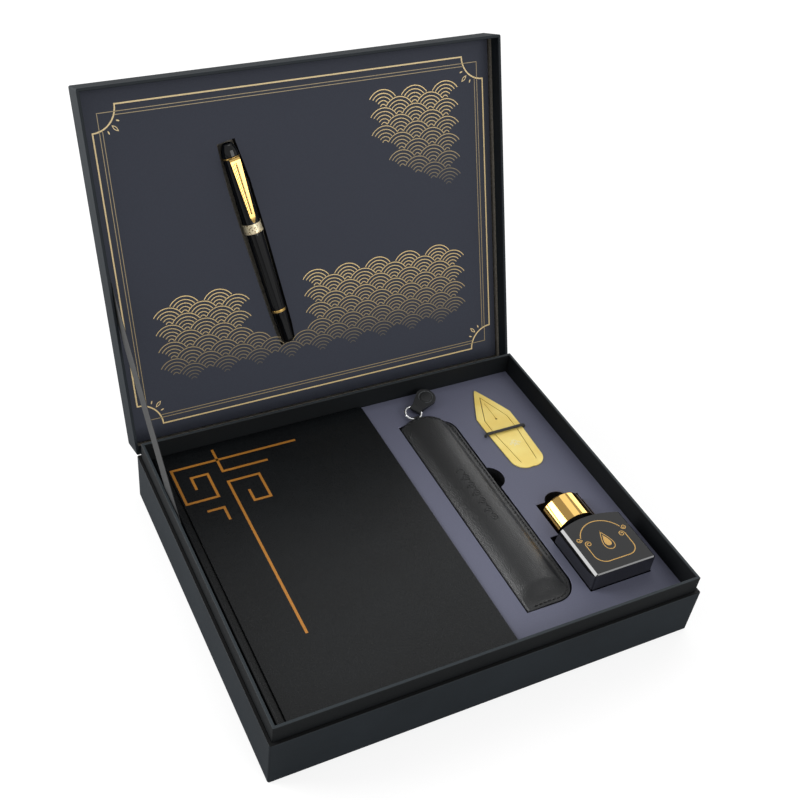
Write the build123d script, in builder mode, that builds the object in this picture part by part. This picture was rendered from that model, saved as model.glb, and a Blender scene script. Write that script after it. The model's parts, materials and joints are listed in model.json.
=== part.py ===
"""Calligraphy set box: a shoulder-neck board box, its lid standing open on a cloth hinge.

The base holds a notebook, a leather pen pouch, a nib-shaped bookmark and a bottle of ink,
and the lid holds a fountain pen.  Millimetres, +Z up.  The origin is the middle of the
base's footprint on the table, +X is to the right and +Y is towards the hinge.
"""

from build123d import *
from math import cos, radians, sin
import os

os.makedirs("parts", exist_ok=True)


# ---------------------------------------------------------------- driving dimensions

# Board, paper and cloth
paper = 0.3  # wrapping paper with its glue
base_wall_board = 1.8
base_floor_board = 1.8
neck_board = 2.0
lid_wall_board = 1.3
lid_plate_board = 2.1
corner_radius = 1.2  # outer upright corners of base and lid
edge_radius = 0.45  # paper turned over a board's edge
turn_in = 9.0  # paper turned over the rim, down the inside
turn_under = 14.0  # and under the floor, where a sheet of paper covers it
under_margin = 1.5  # that sheet's edge to the box's edge
card = 0.6  # faced card over the foam

# Fits between the box's own pieces
slide_fit = 0.3  # foam and card to the walls round them
seat_gap = 0.1  # a loose piece above what it rests on
lid_rest_gap = 0.25  # lid rim above base rim when closed
lid_clearance = 0.5  # lining above the neck's rim when closed
neck_above_contents = 0.7  # neck's rim above the tallest thing in the base
rim_above_card = 3.0  # base wall above the insert card

# Lid
lid_opening = 110.5  # degrees from closed, where the ribbon stops it
lid_foam_thickness = 5.2
lining_margin = 1.4  # lining's edge to the lid's walls

# Ribbon stay
ribbon_width = 16.0
ribbon_thickness = 0.4
ribbon_neck_y = 59.0  # where the ribbon crosses the neck's rim
ribbon_lid_y = -118.0  # where it meets the lining, from the hinge
ribbon_tail = 14.0  # down inside the neck
ribbon_fit = 0.4  # to the neck it is glued in
ribbon_lid_fit = 0.2  # to the lid's wall

# Cloth hinge
cloth_thickness = 0.3
cloth_base_leg = 16.0
cloth_lid_leg = 15.0
cloth_end_margin = 3.0

# Notebook
notebook_width = 149.5
notebook_length = 216.0
notebook_thickness = 18.0
notebook_above_card = 1.5
cover_thickness = 2.2
cover_overhang = 3.0
cover_corner = 3.0
joint_groove = 3.0  # between the spine and the front cover's board
joint_cloth = 0.6
joint_lap = 0.4  # of that cloth, past the groove
endpaper = 0.3
headband_radius = 0.7
finger_gap = 4.2  # notebook to the neck, on its left
book_fit = 0.5  # notebook to the insert, on its right
book_front_gap = 4.4
book_back_gap = 0.8

# Pouch
pouch_width = 37.4
pouch_length = 170.4
pouch_height = 14.0
pouch_sunk = 8.7  # of its height, below the card
pouch_leather_thickness = 1.5
pouch_seam = 3.6  # two layers sewn flat along the edges
pouch_seam_height = 3.2
pouch_seam_level = 5.2  # of the seam's underside, above the pouch's
pouch_flat_left = 6.0  # where the flat underside starts, from the fold
pouch_flat_right = 10.0  # and where it ends, from the seam's edge
pouch_crown = 2.5  # its highest line, left of its middle
pouch_fold_lean = 0.6  # of the fold's upper end
pouch_bottom_radius = 15.0
pouch_mouth_drop = 14.0  # the curved mouth, lower at the seam side
pouch_mouth_fold_drop = 1.1  # and at the fold
pouch_mouth_peak = 7.5  # left of the pouch's middle
pouch_shoulder_inset = 6.2  # the mouth's rounder shoulder, from the seam side
pouch_shoulder_drop = 4.6
pouch_shoulder_radius = 11.0
pouch_fit = 0.6

# Ring and pull tab on the pouch
ring_radius = 5.6
ring_wire = 0.8  # radius of the wire
ring_tilt = 9.0  # degrees from level, its far side up
keeper_width = 3.6
keeper_strap = 0.7
keeper_play = 0.4  # round the wire
keeper_gap = 0.3  # from the wire to the pouch's mouth
keeper_tongue = 14.0  # of the strap, with its part inside the pouch
keeper_inset = 4.5  # left of the pouch's middle
pull_length = 18.6  # from the wire to its round end
pull_width = 14.4
pull_root_width = 8.0
pull_leather = 0.9  # two layers, folded round the wire and sewn together
pull_fold_length = 5.0  # from the wire to where the layers meet
pull_turn = 34.0  # degrees from +X
pull_rise = 7.0  # degrees from level
pull_play = 0.2

# Ink bottle, lying on its back, its cap towards +Y
bottle_width = 44.0
bottle_depth = 37.4
bottle_body = 45.8
bottle_proud = 14.2  # above the card
bottle_foam_floor = 6.7  # foam left under it
bottle_edge = 1.4  # bevels
bottle_arch = 4.0  # rise of the shoulder
bottle_wall = 3.0
bottle_inner_radius = 6.0
bottle_base = 5.0
bottle_neck_radius = 10.5
bottle_mouth_radius = 7.5
bottle_neck = 12.0
bottle_fit = 0.5
cap_radius = 14.7
cap_length = 20.0
cap_wall = 0.9
cap_lift = 3.3  # cap above the glass shoulder
cap_fit = 1.4
cap_thread_pitch = 3.0
cap_thread_turns = 1.0
cap_travel_fit = 1.6  # pocket beyond the cap, once it is unscrewed
cap_thread_gap = 0.3
cap_soft_edge = 1.4
seal_thickness = 1.5
notch_radius = 9.5
notch_set_back = 3.0  # of its centre, inside the cap pocket's end

# Bookmark under its elastic
bookmark_length = 80.7
bookmark_width = 26.6
bookmark_foot = 24.0
bookmark_thickness = 0.8
bookmark_shoulder = 0.66  # of its length, where the nib's blade starts
bookmark_waist = 0.833  # of its length, half way up the blade
bookmark_waist_half = 7.0
bookmark_tip_half = 0.7
bookmark_foot_rise = 8.0  # of the rounded foot
bookmark_toe_out = 0.68  # a point on its curve, as shares of its half width
bookmark_toe_up = 0.2  # and of its rise
bookmark_border = 4.2  # outside the tongue
tongue_tip_inset = 7.4
tongue_shoulder_drop = 3.5
tongue_foot = 5.4  # of the slots that free the tongue, from the bookmark's foot
tongue_foot_half = 6.2
tongue_slot = 0.5
tongue_breather_inset = 24.0  # from the tongue's tip
tongue_breather_radius = 0.8
tongue_slit_inset = 7.0
tongue_slit = 0.3
elastic_radius = 1.0
elastic_gap = 0.25
elastic_overhang = 1.9  # each side of the bookmark
elastic_y_on_bookmark = 36.5  # from the bookmark's foot
elastic_depth = 9.0
elastic_bend = 1.6

# Insert layout
column_margin = 15.2  # card to the left of the pouch pocket
column_web = 6.2  # between the pockets
right_margin = 12.0
front_margin = 22.6  # in front of the bottle pocket
pouch_front_margin = 23.6
bookmark_gap = 24.0  # from the cap's notch to the bookmark
bookmark_shift = 0.9  # right of the bottle's middle
elastic_shift = 0.4  # left of the bookmark's middle
bookmark_back_margin = 12.5
pouch_notch_radius = 10.4
pouch_notch_inset = 3.0  # of its centre, from the pouch's side
pouch_notch_y = 105.3  # from the pouch's foot

# Fountain pen, measured along its axis from the top of its cap
pen_length = 138.5
finial_length = 8.4
finial_tip_radius = 3.6
clip_ring_length = 1.0
clip_ring_radius = 5.75
cap_top_radius = 5.4
cap_mouth_radius = 5.9
band_start = 52.4
band_length = 6.4
band_radius = 6.3
cap_mouth = 59.2
pen_cap_wall = 0.9
barrel_gap = 0.1
barrel_front_radius = 5.4
barrel_back_radius = 4.9
barrel_ring_start = 113.3
barrel_ring_length = 1.8
barrel_ring_radius = 5.25
barrel_wall = 1.1
tail_radius = 4.0
clip_length = 42.0
clip_base_width = 7.0
clip_tip_width = 3.6
clip_thickness = 0.9
clip_standoff = 1.1
clip_groove_width = 1.1
clip_groove_depth = 0.35
nib_length = 24.0
nib_blade = 13.0  # from its point to its full width
nib_breather = 10.0
nib_slit = 0.2
nib_sheet = 0.35
nib_fit = 0.1
nib_start = 16.0
feed_set_back = 3.0
feed_tip = 3.0  # plain, before the fins
feed_fins = 7
fin_pitch = 1.6
fin_gap = 0.7
fin_depth = 0.7
section_start = 38.0
section_bore = 2.4
section_lip = 3.6
section_lip_length = 2.0
section_waist = 3.4
section_collar = 3.0
section_fit = 0.25
section_thread = 7.0
inner_cap_end_gap = 2.0
converter_start = 69.0
converter_length = 38.0
converter_radius = 3.4
converter_collar = 9.0
converter_collar_step = 0.7
pen_slope = 11.2  # degrees from the lid's fore-and-aft line
pen_middle_x = -37.9
pen_middle_y = -117.5
pen_slot_side = 1.7
pen_slot_end = 1.0
pen_slot_finial = 0.8  # wider there
pen_slot_tail = 0.4  # and narrower at the tail
pen_slot_taper = 12.0  # length of its narrowing end
finial_edge = 1.0
finial_bulge = 0.45
tail_round = 3.0
spigot_radius = 3.0
spigot_length = 3.5
inner_cap_wall = 0.5
inner_cap_taper = 0.4  # of the cap's bore, for the inner cap
band_inlay = 0.3
band_rim = 0.9
band_field_depth = 0.25
clip_bend = 2.6  # length of the bend at the clip's root
clip_bend_radius = 3.0
clip_tip_chamfer = 4.0
clip_tip_half = 0.6
clip_tip_drop = 0.3


# ---------------------------------------------------------------- sizes that follow

base_wall = base_wall_board + 2 * paper
lid_wall = lid_wall_board + 2 * paper
base_floor = base_floor_board + 2 * paper
lid_plate = lid_plate_board + paper

# Heights, from the table up
insert_foam_thickness = bottle_foam_floor + bottle_depth + seat_gap - bottle_proud - card
card_top = base_floor + insert_foam_thickness + card
base_height = card_top + rim_above_card
neck_top = card_top + bottle_proud + neck_above_contents
bottle_floor = base_floor + bottle_foam_floor
pouch_floor = card_top - pouch_sunk - seat_gap
notebook_top = card_top + notebook_above_card
notebook_bottom = notebook_top - notebook_thickness

# Widths, from the left
bay_width = finger_gap + notebook_width + book_fit
pouch_pocket_width = pouch_width + 2 * pouch_fit
bottle_pocket_width = bottle_width + 2 * bottle_fit
insert_width = column_margin + pouch_pocket_width + column_web + bottle_pocket_width + right_margin
inner_width = bay_width + insert_width
box_width = inner_width + 2 * (neck_board + base_wall)
inner_left = -inner_width / 2
inner_right = inner_width / 2
insert_left = inner_left + bay_width
notebook_left = inner_left + finger_gap
notebook_right = notebook_left + notebook_width
pouch_x = insert_left + column_margin + pouch_pocket_width / 2
bottle_x = inner_right - right_margin - bottle_pocket_width / 2

# Depths, from the front
cap_reach = cap_lift + cap_length
cap_rise = cap_thread_pitch * cap_thread_turns
cap_travel_room = cap_rise + cap_travel_fit
bottle_column = bottle_body + bottle_fit + cap_reach + cap_travel_room + notch_radius - notch_set_back
right_column = front_margin + bottle_column + bookmark_gap + bookmark_length + bookmark_back_margin
pull_reach = 2 * ring_radius + pull_length * sin(radians(pull_turn))
pull_column = pouch_front_margin + pouch_length + pull_reach
inner_depth = max(notebook_length + book_front_gap + book_back_gap, right_column, pull_column)
box_depth = inner_depth + 2 * (neck_board + base_wall)
inner_front = -inner_depth / 2
inner_back = inner_depth / 2
bottle_foot_y = inner_front + front_margin + bottle_fit
bottle_shoulder_y = bottle_foot_y + bottle_body
cap_end_y = bottle_shoulder_y + cap_reach
cap_pocket_end_y = cap_end_y + cap_travel_room
cap_notch_y = cap_pocket_end_y - notch_set_back
bookmark_foot_y = inner_back - bookmark_back_margin - bookmark_length
bookmark_x = bottle_x + bookmark_shift
elastic_y = bookmark_foot_y + elastic_y_on_bookmark
elastic_half_span = bookmark_width / 2 + elastic_overhang
elastic_left_x = bookmark_x - elastic_shift - elastic_half_span
elastic_right_x = bookmark_x - elastic_shift + elastic_half_span
elastic_holes = ((elastic_left_x, elastic_y), (elastic_right_x, elastic_y))
pouch_foot_y = inner_front + pouch_front_margin
pouch_top_y = pouch_foot_y + pouch_length

# The lid's own frame: origin on the hinge line, X to the right, Y to the back and Z up
# when the lid is closed.  It is turned back by the opening.
lining_height = neck_top + lid_clearance - base_height
lid_foam_bottom = lining_height + card
lid_plate_bottom = lid_foam_bottom + lid_foam_thickness
lid_height = lid_plate_bottom + lid_plate
turn = radians(lid_opening)
lid_frame = Plane(origin=(0, box_depth / 2, base_height), x_dir=(1, 0, 0), z_dir=(0, sin(turn), cos(turn)))
lid_middle_y = -box_depth / 2

# The pen's frame: origin at the top of the cap, Z along the pen to its tail and X out of
# the lid, where the clip is.
pen_axis_height = lid_plate_bottom - seat_gap - band_radius
pen_run = Vector(sin(radians(pen_slope)), cos(radians(pen_slope)), 0)
pen_middle = Vector(pen_middle_x, pen_middle_y, pen_axis_height)
pen_top_point = lid_frame.from_local_coords(pen_middle - pen_run * (pen_length / 2))
pen_tail_point = lid_frame.from_local_coords(pen_middle + pen_run * (pen_length / 2))
pen_frame = Plane(origin=pen_top_point, x_dir=-lid_frame.z_dir, z_dir=pen_tail_point - pen_top_point)
pen_profile = Plane(origin=pen_top_point, x_dir=pen_frame.x_dir, z_dir=-pen_frame.y_dir)
pen_axis = Axis(pen_top_point, pen_frame.z_dir)

# The bottle's frame: origin at the middle of its foot, Z along it to the cap.
bottle_z = bottle_floor + seat_gap + bottle_depth / 2
bottle_frame = Plane(origin=(bottle_x, bottle_foot_y, bottle_z), x_dir=(1, 0, 0), z_dir=(0, 1, 0))
bottle_profile = Plane(origin=bottle_frame.origin, x_dir=(1, 0, 0), z_dir=(0, 0, 1))
bottle_axis = Axis(bottle_frame.origin, bottle_frame.z_dir)


# ---------------------------------------------------------------- shared outlines


def turned_face(*points):
    """A closed face of (radius, length) points, to be revolved."""
    with BuildSketch() as turned:
        with BuildLine():
            Polyline(*points, close=True)
        make_face()
    return turned.sketch


def pouch_outline(growth=0.0):
    """The pouch seen from above: folded left side, curved mouth and one rounded corner."""
    left = -pouch_width / 2
    right = pouch_width / 2
    with BuildSketch() as outline:
        with BuildLine():
            foot = Line((left, 0), (right - pouch_bottom_radius, 0))
            corner = RadiusArc(foot @ 1, (right, pouch_bottom_radius), -pouch_bottom_radius)
            side = Line(corner @ 1, (right, pouch_length - pouch_mouth_drop))
            shoulder = (right - pouch_shoulder_inset, pouch_length - pouch_shoulder_drop)
            rounding = RadiusArc(side @ 1, shoulder, -pouch_shoulder_radius)
            fold_end = (left, pouch_length - pouch_mouth_fold_drop)
            mouth = ThreePointArc(rounding @ 1, (-pouch_mouth_peak, pouch_length), fold_end)
            Line(mouth @ 1, foot @ 0)
        make_face()
        if growth:
            offset(amount=growth, kind=Kind.INTERSECTION)
    return outline.sketch.moved(Location((pouch_x, pouch_foot_y, 0)))


def pen_outline(side, end):
    """The pen seen from the lid's inside, in the lid's frame, grown for its slot."""
    with BuildSketch() as outline:
        with BuildLine():
            Polyline(
                (-finial_tip_radius - side - pen_slot_finial, -end),
                (-band_radius - side, band_start / 2),
                (-band_radius - side, cap_mouth + 2),
                (-barrel_back_radius - side, pen_length - pen_slot_taper),
                (-tail_radius - side + pen_slot_tail, pen_length + end),
                (tail_radius + side - pen_slot_tail, pen_length + end),
                (barrel_back_radius + side, pen_length - pen_slot_taper),
                (band_radius + side, cap_mouth + 2),
                (band_radius + side, band_start / 2),
                (finial_tip_radius + side + pen_slot_finial, -end),
                close=True,
            )
        make_face()
    start = pen_middle - pen_run * (pen_length / 2)
    return outline.sketch.moved(Location((start.X, start.Y, 0), (0, 0, -pen_slope)))


def bottle_pocket(growth=0.0):
    """The bottle and cap pocket with its finger notch, seen from above."""
    middle_y = bottle_foot_y + bottle_body / 2
    cap_half = cap_radius + cap_fit + growth
    cap_run = cap_pocket_end_y + growth - middle_y
    with BuildSketch() as outline:
        with Locations((bottle_x, middle_y)):
            Rectangle(bottle_pocket_width + 2 * growth, bottle_body + 2 * bottle_fit + 2 * growth)
            Rectangle(2 * cap_half, cap_run, align=(Align.CENTER, Align.MIN))
        with Locations((bottle_x, cap_notch_y)):
            Circle(notch_radius + growth)
    return outline.sketch


def pouch_notch():
    """The finger notch beside the pouch."""
    with BuildSketch() as outline:
        with Locations((pouch_x + pouch_width / 2 - pouch_notch_inset, pouch_foot_y + pouch_notch_y)):
            Circle(pouch_notch_radius)
    return outline.sketch


# ---------------------------------------------------------------- base

# Tray of grey board: a floor and four walls, cut from one sheet and folded up
with BuildPart() as base_tray:
    with BuildSketch(Plane.XY.offset(2 * paper)):
        RectangleRounded(box_width - 2 * paper, box_depth - 2 * paper, corner_radius - paper)
    extrude(amount=base_height - 3 * paper)
    with BuildSketch(Plane.XY.offset(base_floor)):
        Rectangle(inner_width + 2 * neck_board + 2 * paper, inner_depth + 2 * neck_board + 2 * paper)
    extrude(amount=base_height, mode=Mode.SUBTRACT)
base_tray.part.label = "base_tray"
export_step(base_tray.part, "parts/base_tray.step")

# Paper round the tray: turned under the floor, up the walls, over the rim and down inside
with BuildPart() as base_wrap:
    with BuildSketch(Plane.XY.offset(paper)):
        RectangleRounded(box_width, box_depth, corner_radius)
    extrude(amount=base_height - paper)
    fillet(base_wrap.faces().sort_by(Axis.Z)[0].edges(), edge_radius)
    with BuildSketch(Plane.XY.offset(paper)):
        Rectangle(box_width - 2 * turn_under, box_depth - 2 * turn_under)
    extrude(amount=paper, mode=Mode.SUBTRACT)
    with BuildSketch(Plane.XY.offset(base_floor)):
        Rectangle(inner_width + 2 * neck_board, inner_depth + 2 * neck_board)
    extrude(amount=base_height, mode=Mode.SUBTRACT)
    fillet(base_wrap.faces().sort_by(Axis.Z)[-1].edges(), edge_radius)
    with BuildSketch(Plane.XY.offset(base_floor)):
        Rectangle(inner_width + 2 * neck_board + 2 * paper, inner_depth + 2 * neck_board + 2 * paper)
    extrude(amount=base_height - base_floor - paper - turn_in, mode=Mode.SUBTRACT)
    add(base_tray.part, mode=Mode.SUBTRACT)
base_wrap.part.label = "base_wrap"
export_step(base_wrap.part, "parts/base_wrap.step")

# Sheet of paper glued under the base, over the wrap's turned edges
with BuildPart() as base_sheet:
    with BuildSketch():
        RectangleRounded(box_width - 2 * under_margin, box_depth - 2 * under_margin, corner_radius)
    extrude(amount=paper)
base_sheet.part.label = "base_sheet"
export_step(base_sheet.part, "parts/base_sheet.step")

# Neck: an inner frame that stands above the base walls and locates the lid
with BuildPart() as neck:
    with BuildSketch(Plane.XY.offset(base_floor)):
        RectangleRounded(inner_width + 2 * neck_board, inner_depth + 2 * neck_board, corner_radius / 2)
        Rectangle(inner_width, inner_depth, mode=Mode.SUBTRACT)
    extrude(amount=neck_top - base_floor)
    fillet(neck.faces().sort_by(Axis.Z)[-1].edges(), edge_radius)
neck.part.label = "neck"
export_step(neck.part, "parts/neck.step")

# Foam riser under the notebook
riser_depth = inner_depth - 2 * slide_fit
with BuildPart() as book_riser:
    with BuildSketch(Plane.XY.offset(base_floor)):
        with Locations((inner_left + slide_fit, 0)):
            Rectangle(bay_width - 2 * slide_fit, riser_depth, align=(Align.MIN, Align.CENTER))
    extrude(amount=notebook_bottom - seat_gap - base_floor)
book_riser.part.label = "book_riser"
export_step(book_riser.part, "parts/book_riser.step")

# Foam block with the pockets
insert_block_width = insert_width - slide_fit
foam_top = base_floor + insert_foam_thickness
with BuildPart() as insert_foam:
    with BuildSketch(Plane.XY.offset(base_floor)):
        with Locations((insert_left, 0)):
            Rectangle(insert_block_width, inner_depth - 2 * slide_fit, align=(Align.MIN, Align.CENTER))
    extrude(amount=insert_foam_thickness)
    with BuildSketch(Plane.XY.offset(pouch_floor)):
        add(pouch_outline(pouch_fit))
        add(pouch_notch())
    extrude(amount=card_top, mode=Mode.SUBTRACT)
    with BuildSketch(Plane.XY.offset(bottle_floor)):
        add(bottle_pocket())
    extrude(amount=card_top, mode=Mode.SUBTRACT)
    with BuildSketch(Plane.XY.offset(foam_top)):
        with Locations(*elastic_holes):
            Circle(elastic_radius)
    extrude(amount=-elastic_depth, mode=Mode.SUBTRACT)
insert_foam.part.label = "insert_foam"
export_step(insert_foam.part, "parts/insert_foam.step")

# Faced card glued over the foam, its cut-outs a little tighter than the foam's
with BuildPart() as insert_card:
    with BuildSketch(Plane.XY.offset(foam_top)):
        with Locations((insert_left, 0)):
            Rectangle(insert_block_width, inner_depth - 2 * slide_fit, align=(Align.MIN, Align.CENTER))
        add(pouch_outline(pouch_fit), mode=Mode.SUBTRACT)
        add(pouch_notch(), mode=Mode.SUBTRACT)
        add(bottle_pocket(), mode=Mode.SUBTRACT)
        with Locations(*elastic_holes):
            Circle(elastic_radius, mode=Mode.SUBTRACT)
    extrude(amount=card)
insert_card.part.label = "insert_card"
export_step(insert_card.part, "parts/insert_card.step")

# Elastic cord over the bookmark: down a hole on each side
elastic_top = card_top + seat_gap + bookmark_thickness + elastic_gap + elastic_radius
elastic_end = foam_top - elastic_depth
with BuildPart() as bookmark_elastic:
    with BuildLine() as elastic_path:
        FilletPolyline(
            (elastic_left_x, elastic_y, elastic_end),
            (elastic_left_x, elastic_y, elastic_top),
            (elastic_right_x, elastic_y, elastic_top),
            (elastic_right_x, elastic_y, elastic_end),
            radius=elastic_bend,
        )
    with BuildSketch(Plane(origin=elastic_path.line @ 0, z_dir=elastic_path.line % 0)):
        Circle(elastic_radius)
    sweep()
bookmark_elastic.part.label = "bookmark_elastic"
export_step(bookmark_elastic.part, "parts/bookmark_elastic.step")

# Ribbon stay: from inside the neck's left wall up to the gap beside the lid's lining
ribbon_neck_x = inner_left + ribbon_thickness / 2 + ribbon_fit
ribbon_lid_x = -box_width / 2 + lid_wall + ribbon_thickness / 2 + ribbon_lid_fit
ribbon_low = Vector(ribbon_neck_x, ribbon_neck_y, neck_top)
ribbon_high = lid_frame.from_local_coords(Vector(ribbon_lid_x, ribbon_lid_y, lining_height))
ribbon_run = (ribbon_high - ribbon_low).normalized()
ribbon_side = ribbon_run.cross(Vector(1, 0, 0)).normalized()
ribbon_plane = Plane(origin=ribbon_low, x_dir=ribbon_run, z_dir=ribbon_side.cross(ribbon_run))
ribbon_span = (ribbon_high - ribbon_low).length
ribbon_spare = 2.5 * ribbon_width
with BuildPart() as ribbon_stay:
    with BuildSketch(ribbon_plane):
        with Locations((-ribbon_spare, 0)):
            Rectangle(ribbon_span + 2 * ribbon_spare, ribbon_width, align=(Align.MIN, Align.CENTER))
    extrude(amount=ribbon_thickness / 2, both=True)
    split(bisect_by=lid_frame.offset(lid_plate_bottom - paper), keep=Keep.BOTTOM)
    split(bisect_by=Plane.XY.offset(neck_top - ribbon_tail), keep=Keep.TOP)
ribbon_stay.part.label = "ribbon_stay"
export_step(ribbon_stay.part, "parts/ribbon_stay.step")

# Cloth hinge: glued down the back of the base and up the back wall of the lid
cloth_y = box_depth / 2
crease = lid_frame.origin
lid_leg_end = crease + lid_frame.z_dir * cloth_lid_leg
lid_leg_outer = lid_leg_end + lid_frame.y_dir * cloth_thickness
half_angle = (radians(180) - turn) / 2
crease_outer = crease + (lid_frame.z_dir - Vector(0, 0, 1)).normalized() * (cloth_thickness / sin(half_angle))
with BuildPart() as hinge_cloth:
    with BuildSketch(Plane.YZ):
        with BuildLine():
            Polyline(
                (cloth_y, base_height - cloth_base_leg),
                (crease.Y, crease.Z),
                (lid_leg_end.Y, lid_leg_end.Z),
                (lid_leg_outer.Y, lid_leg_outer.Z),
                (crease_outer.Y, crease_outer.Z),
                (cloth_y + cloth_thickness, base_height - cloth_base_leg),
                close=True,
            )
        make_face()
    extrude(amount=box_width / 2 - cloth_end_margin, both=True)
hinge_cloth.part.label = "hinge_cloth"
export_step(hinge_cloth.part, "parts/hinge_cloth.step")


# ---------------------------------------------------------------- lid, in its own frame

# Tray of grey board
with BuildPart() as lid_tray:
    with BuildSketch(lid_frame.offset(lid_rest_gap + paper)):
        with Locations((0, lid_middle_y)):
            RectangleRounded(box_width - 2 * paper, box_depth - 2 * paper, corner_radius - paper)
    extrude(amount=lid_height - lid_rest_gap - 2 * paper)
    with BuildSketch(lid_frame.offset(lid_rest_gap)):
        with Locations((0, lid_middle_y)):
            Rectangle(
                box_width - 2 * lid_wall_board - 2 * paper,
                box_depth - 2 * lid_wall_board - 2 * paper,
            )
    extrude(amount=lid_plate_bottom - lid_rest_gap, mode=Mode.SUBTRACT)
lid_tray.part.label = "lid_tray"
export_step(lid_tray.part, "parts/lid_tray.step")

# Paper round the lid: over the plate, down the walls, round the rim and up inside
with BuildPart() as lid_wrap:
    with BuildSketch(lid_frame.offset(lid_rest_gap)):
        with Locations((0, lid_middle_y)):
            RectangleRounded(box_width, box_depth, corner_radius)
    extrude(amount=lid_height - lid_rest_gap)
    fillet(lid_wrap.faces().sort_by(Axis(lid_frame.origin, lid_frame.z_dir))[-1].edges(), edge_radius)
    with BuildSketch(lid_frame.offset(lid_rest_gap)):
        with Locations((0, lid_middle_y)):
            Rectangle(box_width - 2 * lid_wall, box_depth - 2 * lid_wall)
    extrude(amount=lid_plate_bottom - lid_rest_gap, mode=Mode.SUBTRACT)
    fillet(lid_wrap.faces().sort_by(Axis(lid_frame.origin, lid_frame.z_dir))[0].edges(), edge_radius)
    with BuildSketch(lid_frame.offset(lid_rest_gap + paper + turn_in)):
        with Locations((0, lid_middle_y)):
            Rectangle(
                box_width - 2 * lid_wall_board - 2 * paper,
                box_depth - 2 * lid_wall_board - 2 * paper,
            )
    extrude(amount=lid_plate_bottom - lid_rest_gap - paper - turn_in, mode=Mode.SUBTRACT)
    add(lid_tray.part, mode=Mode.SUBTRACT)
lid_wrap.part.label = "lid_wrap"
export_step(lid_wrap.part, "parts/lid_wrap.step")

lining_width = box_width - 2 * lid_wall - 2 * lining_margin
lining_depth = box_depth - 2 * lid_wall - 2 * lining_margin

# Foam pad with the pen's slot
with BuildPart() as lid_foam:
    with BuildSketch(lid_frame.offset(lid_foam_bottom)):
        with Locations((0, lid_middle_y)):
            Rectangle(lining_width, lining_depth)
        add(pen_outline(pen_slot_side, pen_slot_end), mode=Mode.SUBTRACT)
    extrude(amount=lid_foam_thickness)
lid_foam.part.label = "lid_foam"
export_step(lid_foam.part, "parts/lid_foam.step")

# Printed lining card over the foam
with BuildPart() as lid_lining:
    with BuildSketch(lid_frame.offset(lining_height)):
        with Locations((0, lid_middle_y)):
            Rectangle(lining_width, lining_depth)
        add(pen_outline(pen_slot_side, pen_slot_end), mode=Mode.SUBTRACT)
    extrude(amount=card)
lid_lining.part.label = "lid_lining"
export_step(lid_lining.part, "parts/lid_lining.step")


# ---------------------------------------------------------------- notebook

notebook_middle_y = inner_back - book_back_gap - notebook_length / 2
hinge_x = notebook_left + cover_thickness + joint_groove
board_left = hinge_x + joint_lap
cover_underside = notebook_top - cover_thickness
block_width = notebook_width - cover_thickness - cover_overhang
block_length = notebook_length - 2 * cover_overhang
block_bottom = notebook_bottom + cover_thickness + endpaper
block_top = cover_underside - endpaper

# Front cover: a board in leatherette, rounded at the fore-edge
with BuildPart() as front_cover:
    with BuildSketch(Plane.XY.offset(cover_underside)):
        with Locations((board_left, notebook_middle_y)):
            Rectangle(notebook_right - board_left, notebook_length, align=(Align.MIN, Align.CENTER))
    extrude(amount=cover_thickness)
    fillet(front_cover.edges().filter_by(Axis.Z).sort_by(Axis.X)[-2:], cover_corner)
    fillet(front_cover.faces().sort_by(Axis.Z)[-1].edges(), edge_radius)
front_cover.part.label = "front_cover"
export_step(front_cover.part, "parts/front_cover.step")

# Back cover, with the groove beside the spine
with BuildPart() as back_cover:
    with BuildSketch(Plane.XY.offset(notebook_bottom)):
        with Locations((notebook_left + cover_thickness, notebook_middle_y)):
            Rectangle(notebook_width - cover_thickness, notebook_length, align=(Align.MIN, Align.CENTER))
    extrude(amount=cover_thickness)
    fillet(back_cover.edges().filter_by(Axis.Z).sort_by(Axis.X)[-2:], cover_corner)
    with BuildSketch(Plane.XY.offset(notebook_bottom)):
        with Locations((notebook_left + cover_thickness + joint_cloth, notebook_middle_y)):
            Rectangle(joint_groove - joint_cloth, notebook_length, align=(Align.MIN, Align.CENTER))
    extrude(amount=cover_thickness - joint_cloth, mode=Mode.SUBTRACT)
back_cover.part.label = "back_cover"
export_step(back_cover.part, "parts/back_cover.step")

# Spine board in leatherette
with BuildPart() as spine_board:
    with BuildSketch(Plane.XY.offset(notebook_bottom)):
        with Locations((notebook_left, notebook_middle_y)):
            Rectangle(cover_thickness, notebook_length, align=(Align.MIN, Align.CENTER))
    extrude(amount=notebook_thickness - edge_radius)
    fillet(spine_board.edges().filter_by(Axis.Y).sort_by(Axis.X)[:2], 2 * edge_radius)
spine_board.part.label = "spine_board"
export_step(spine_board.part, "parts/spine_board.step")

# Leatherette joint between the spine and the front cover, which bends as the cover opens
with BuildPart() as cover_joint:
    with BuildSketch(Plane.XY.offset(cover_underside)):
        with Locations((notebook_left + cover_thickness, notebook_middle_y)):
            Rectangle(joint_groove + joint_lap, notebook_length, align=(Align.MIN, Align.CENTER))
    extrude(amount=joint_cloth)
cover_joint.part.label = "cover_joint"
export_step(cover_joint.part, "parts/cover_joint.step")

# Page block: sewn sections, trimmed square
with BuildPart() as page_block:
    with BuildSketch(Plane.XY.offset(block_bottom)):
        with Locations((notebook_left + cover_thickness, notebook_middle_y)):
            Rectangle(block_width, block_length, align=(Align.MIN, Align.CENTER))
    extrude(amount=block_top - block_bottom)
    fillet(page_block.edges().filter_by(Axis.Z).sort_by(Axis.X)[-2:], cover_corner)
page_block.part.label = "page_block"
export_step(page_block.part, "parts/page_block.step")

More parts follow.
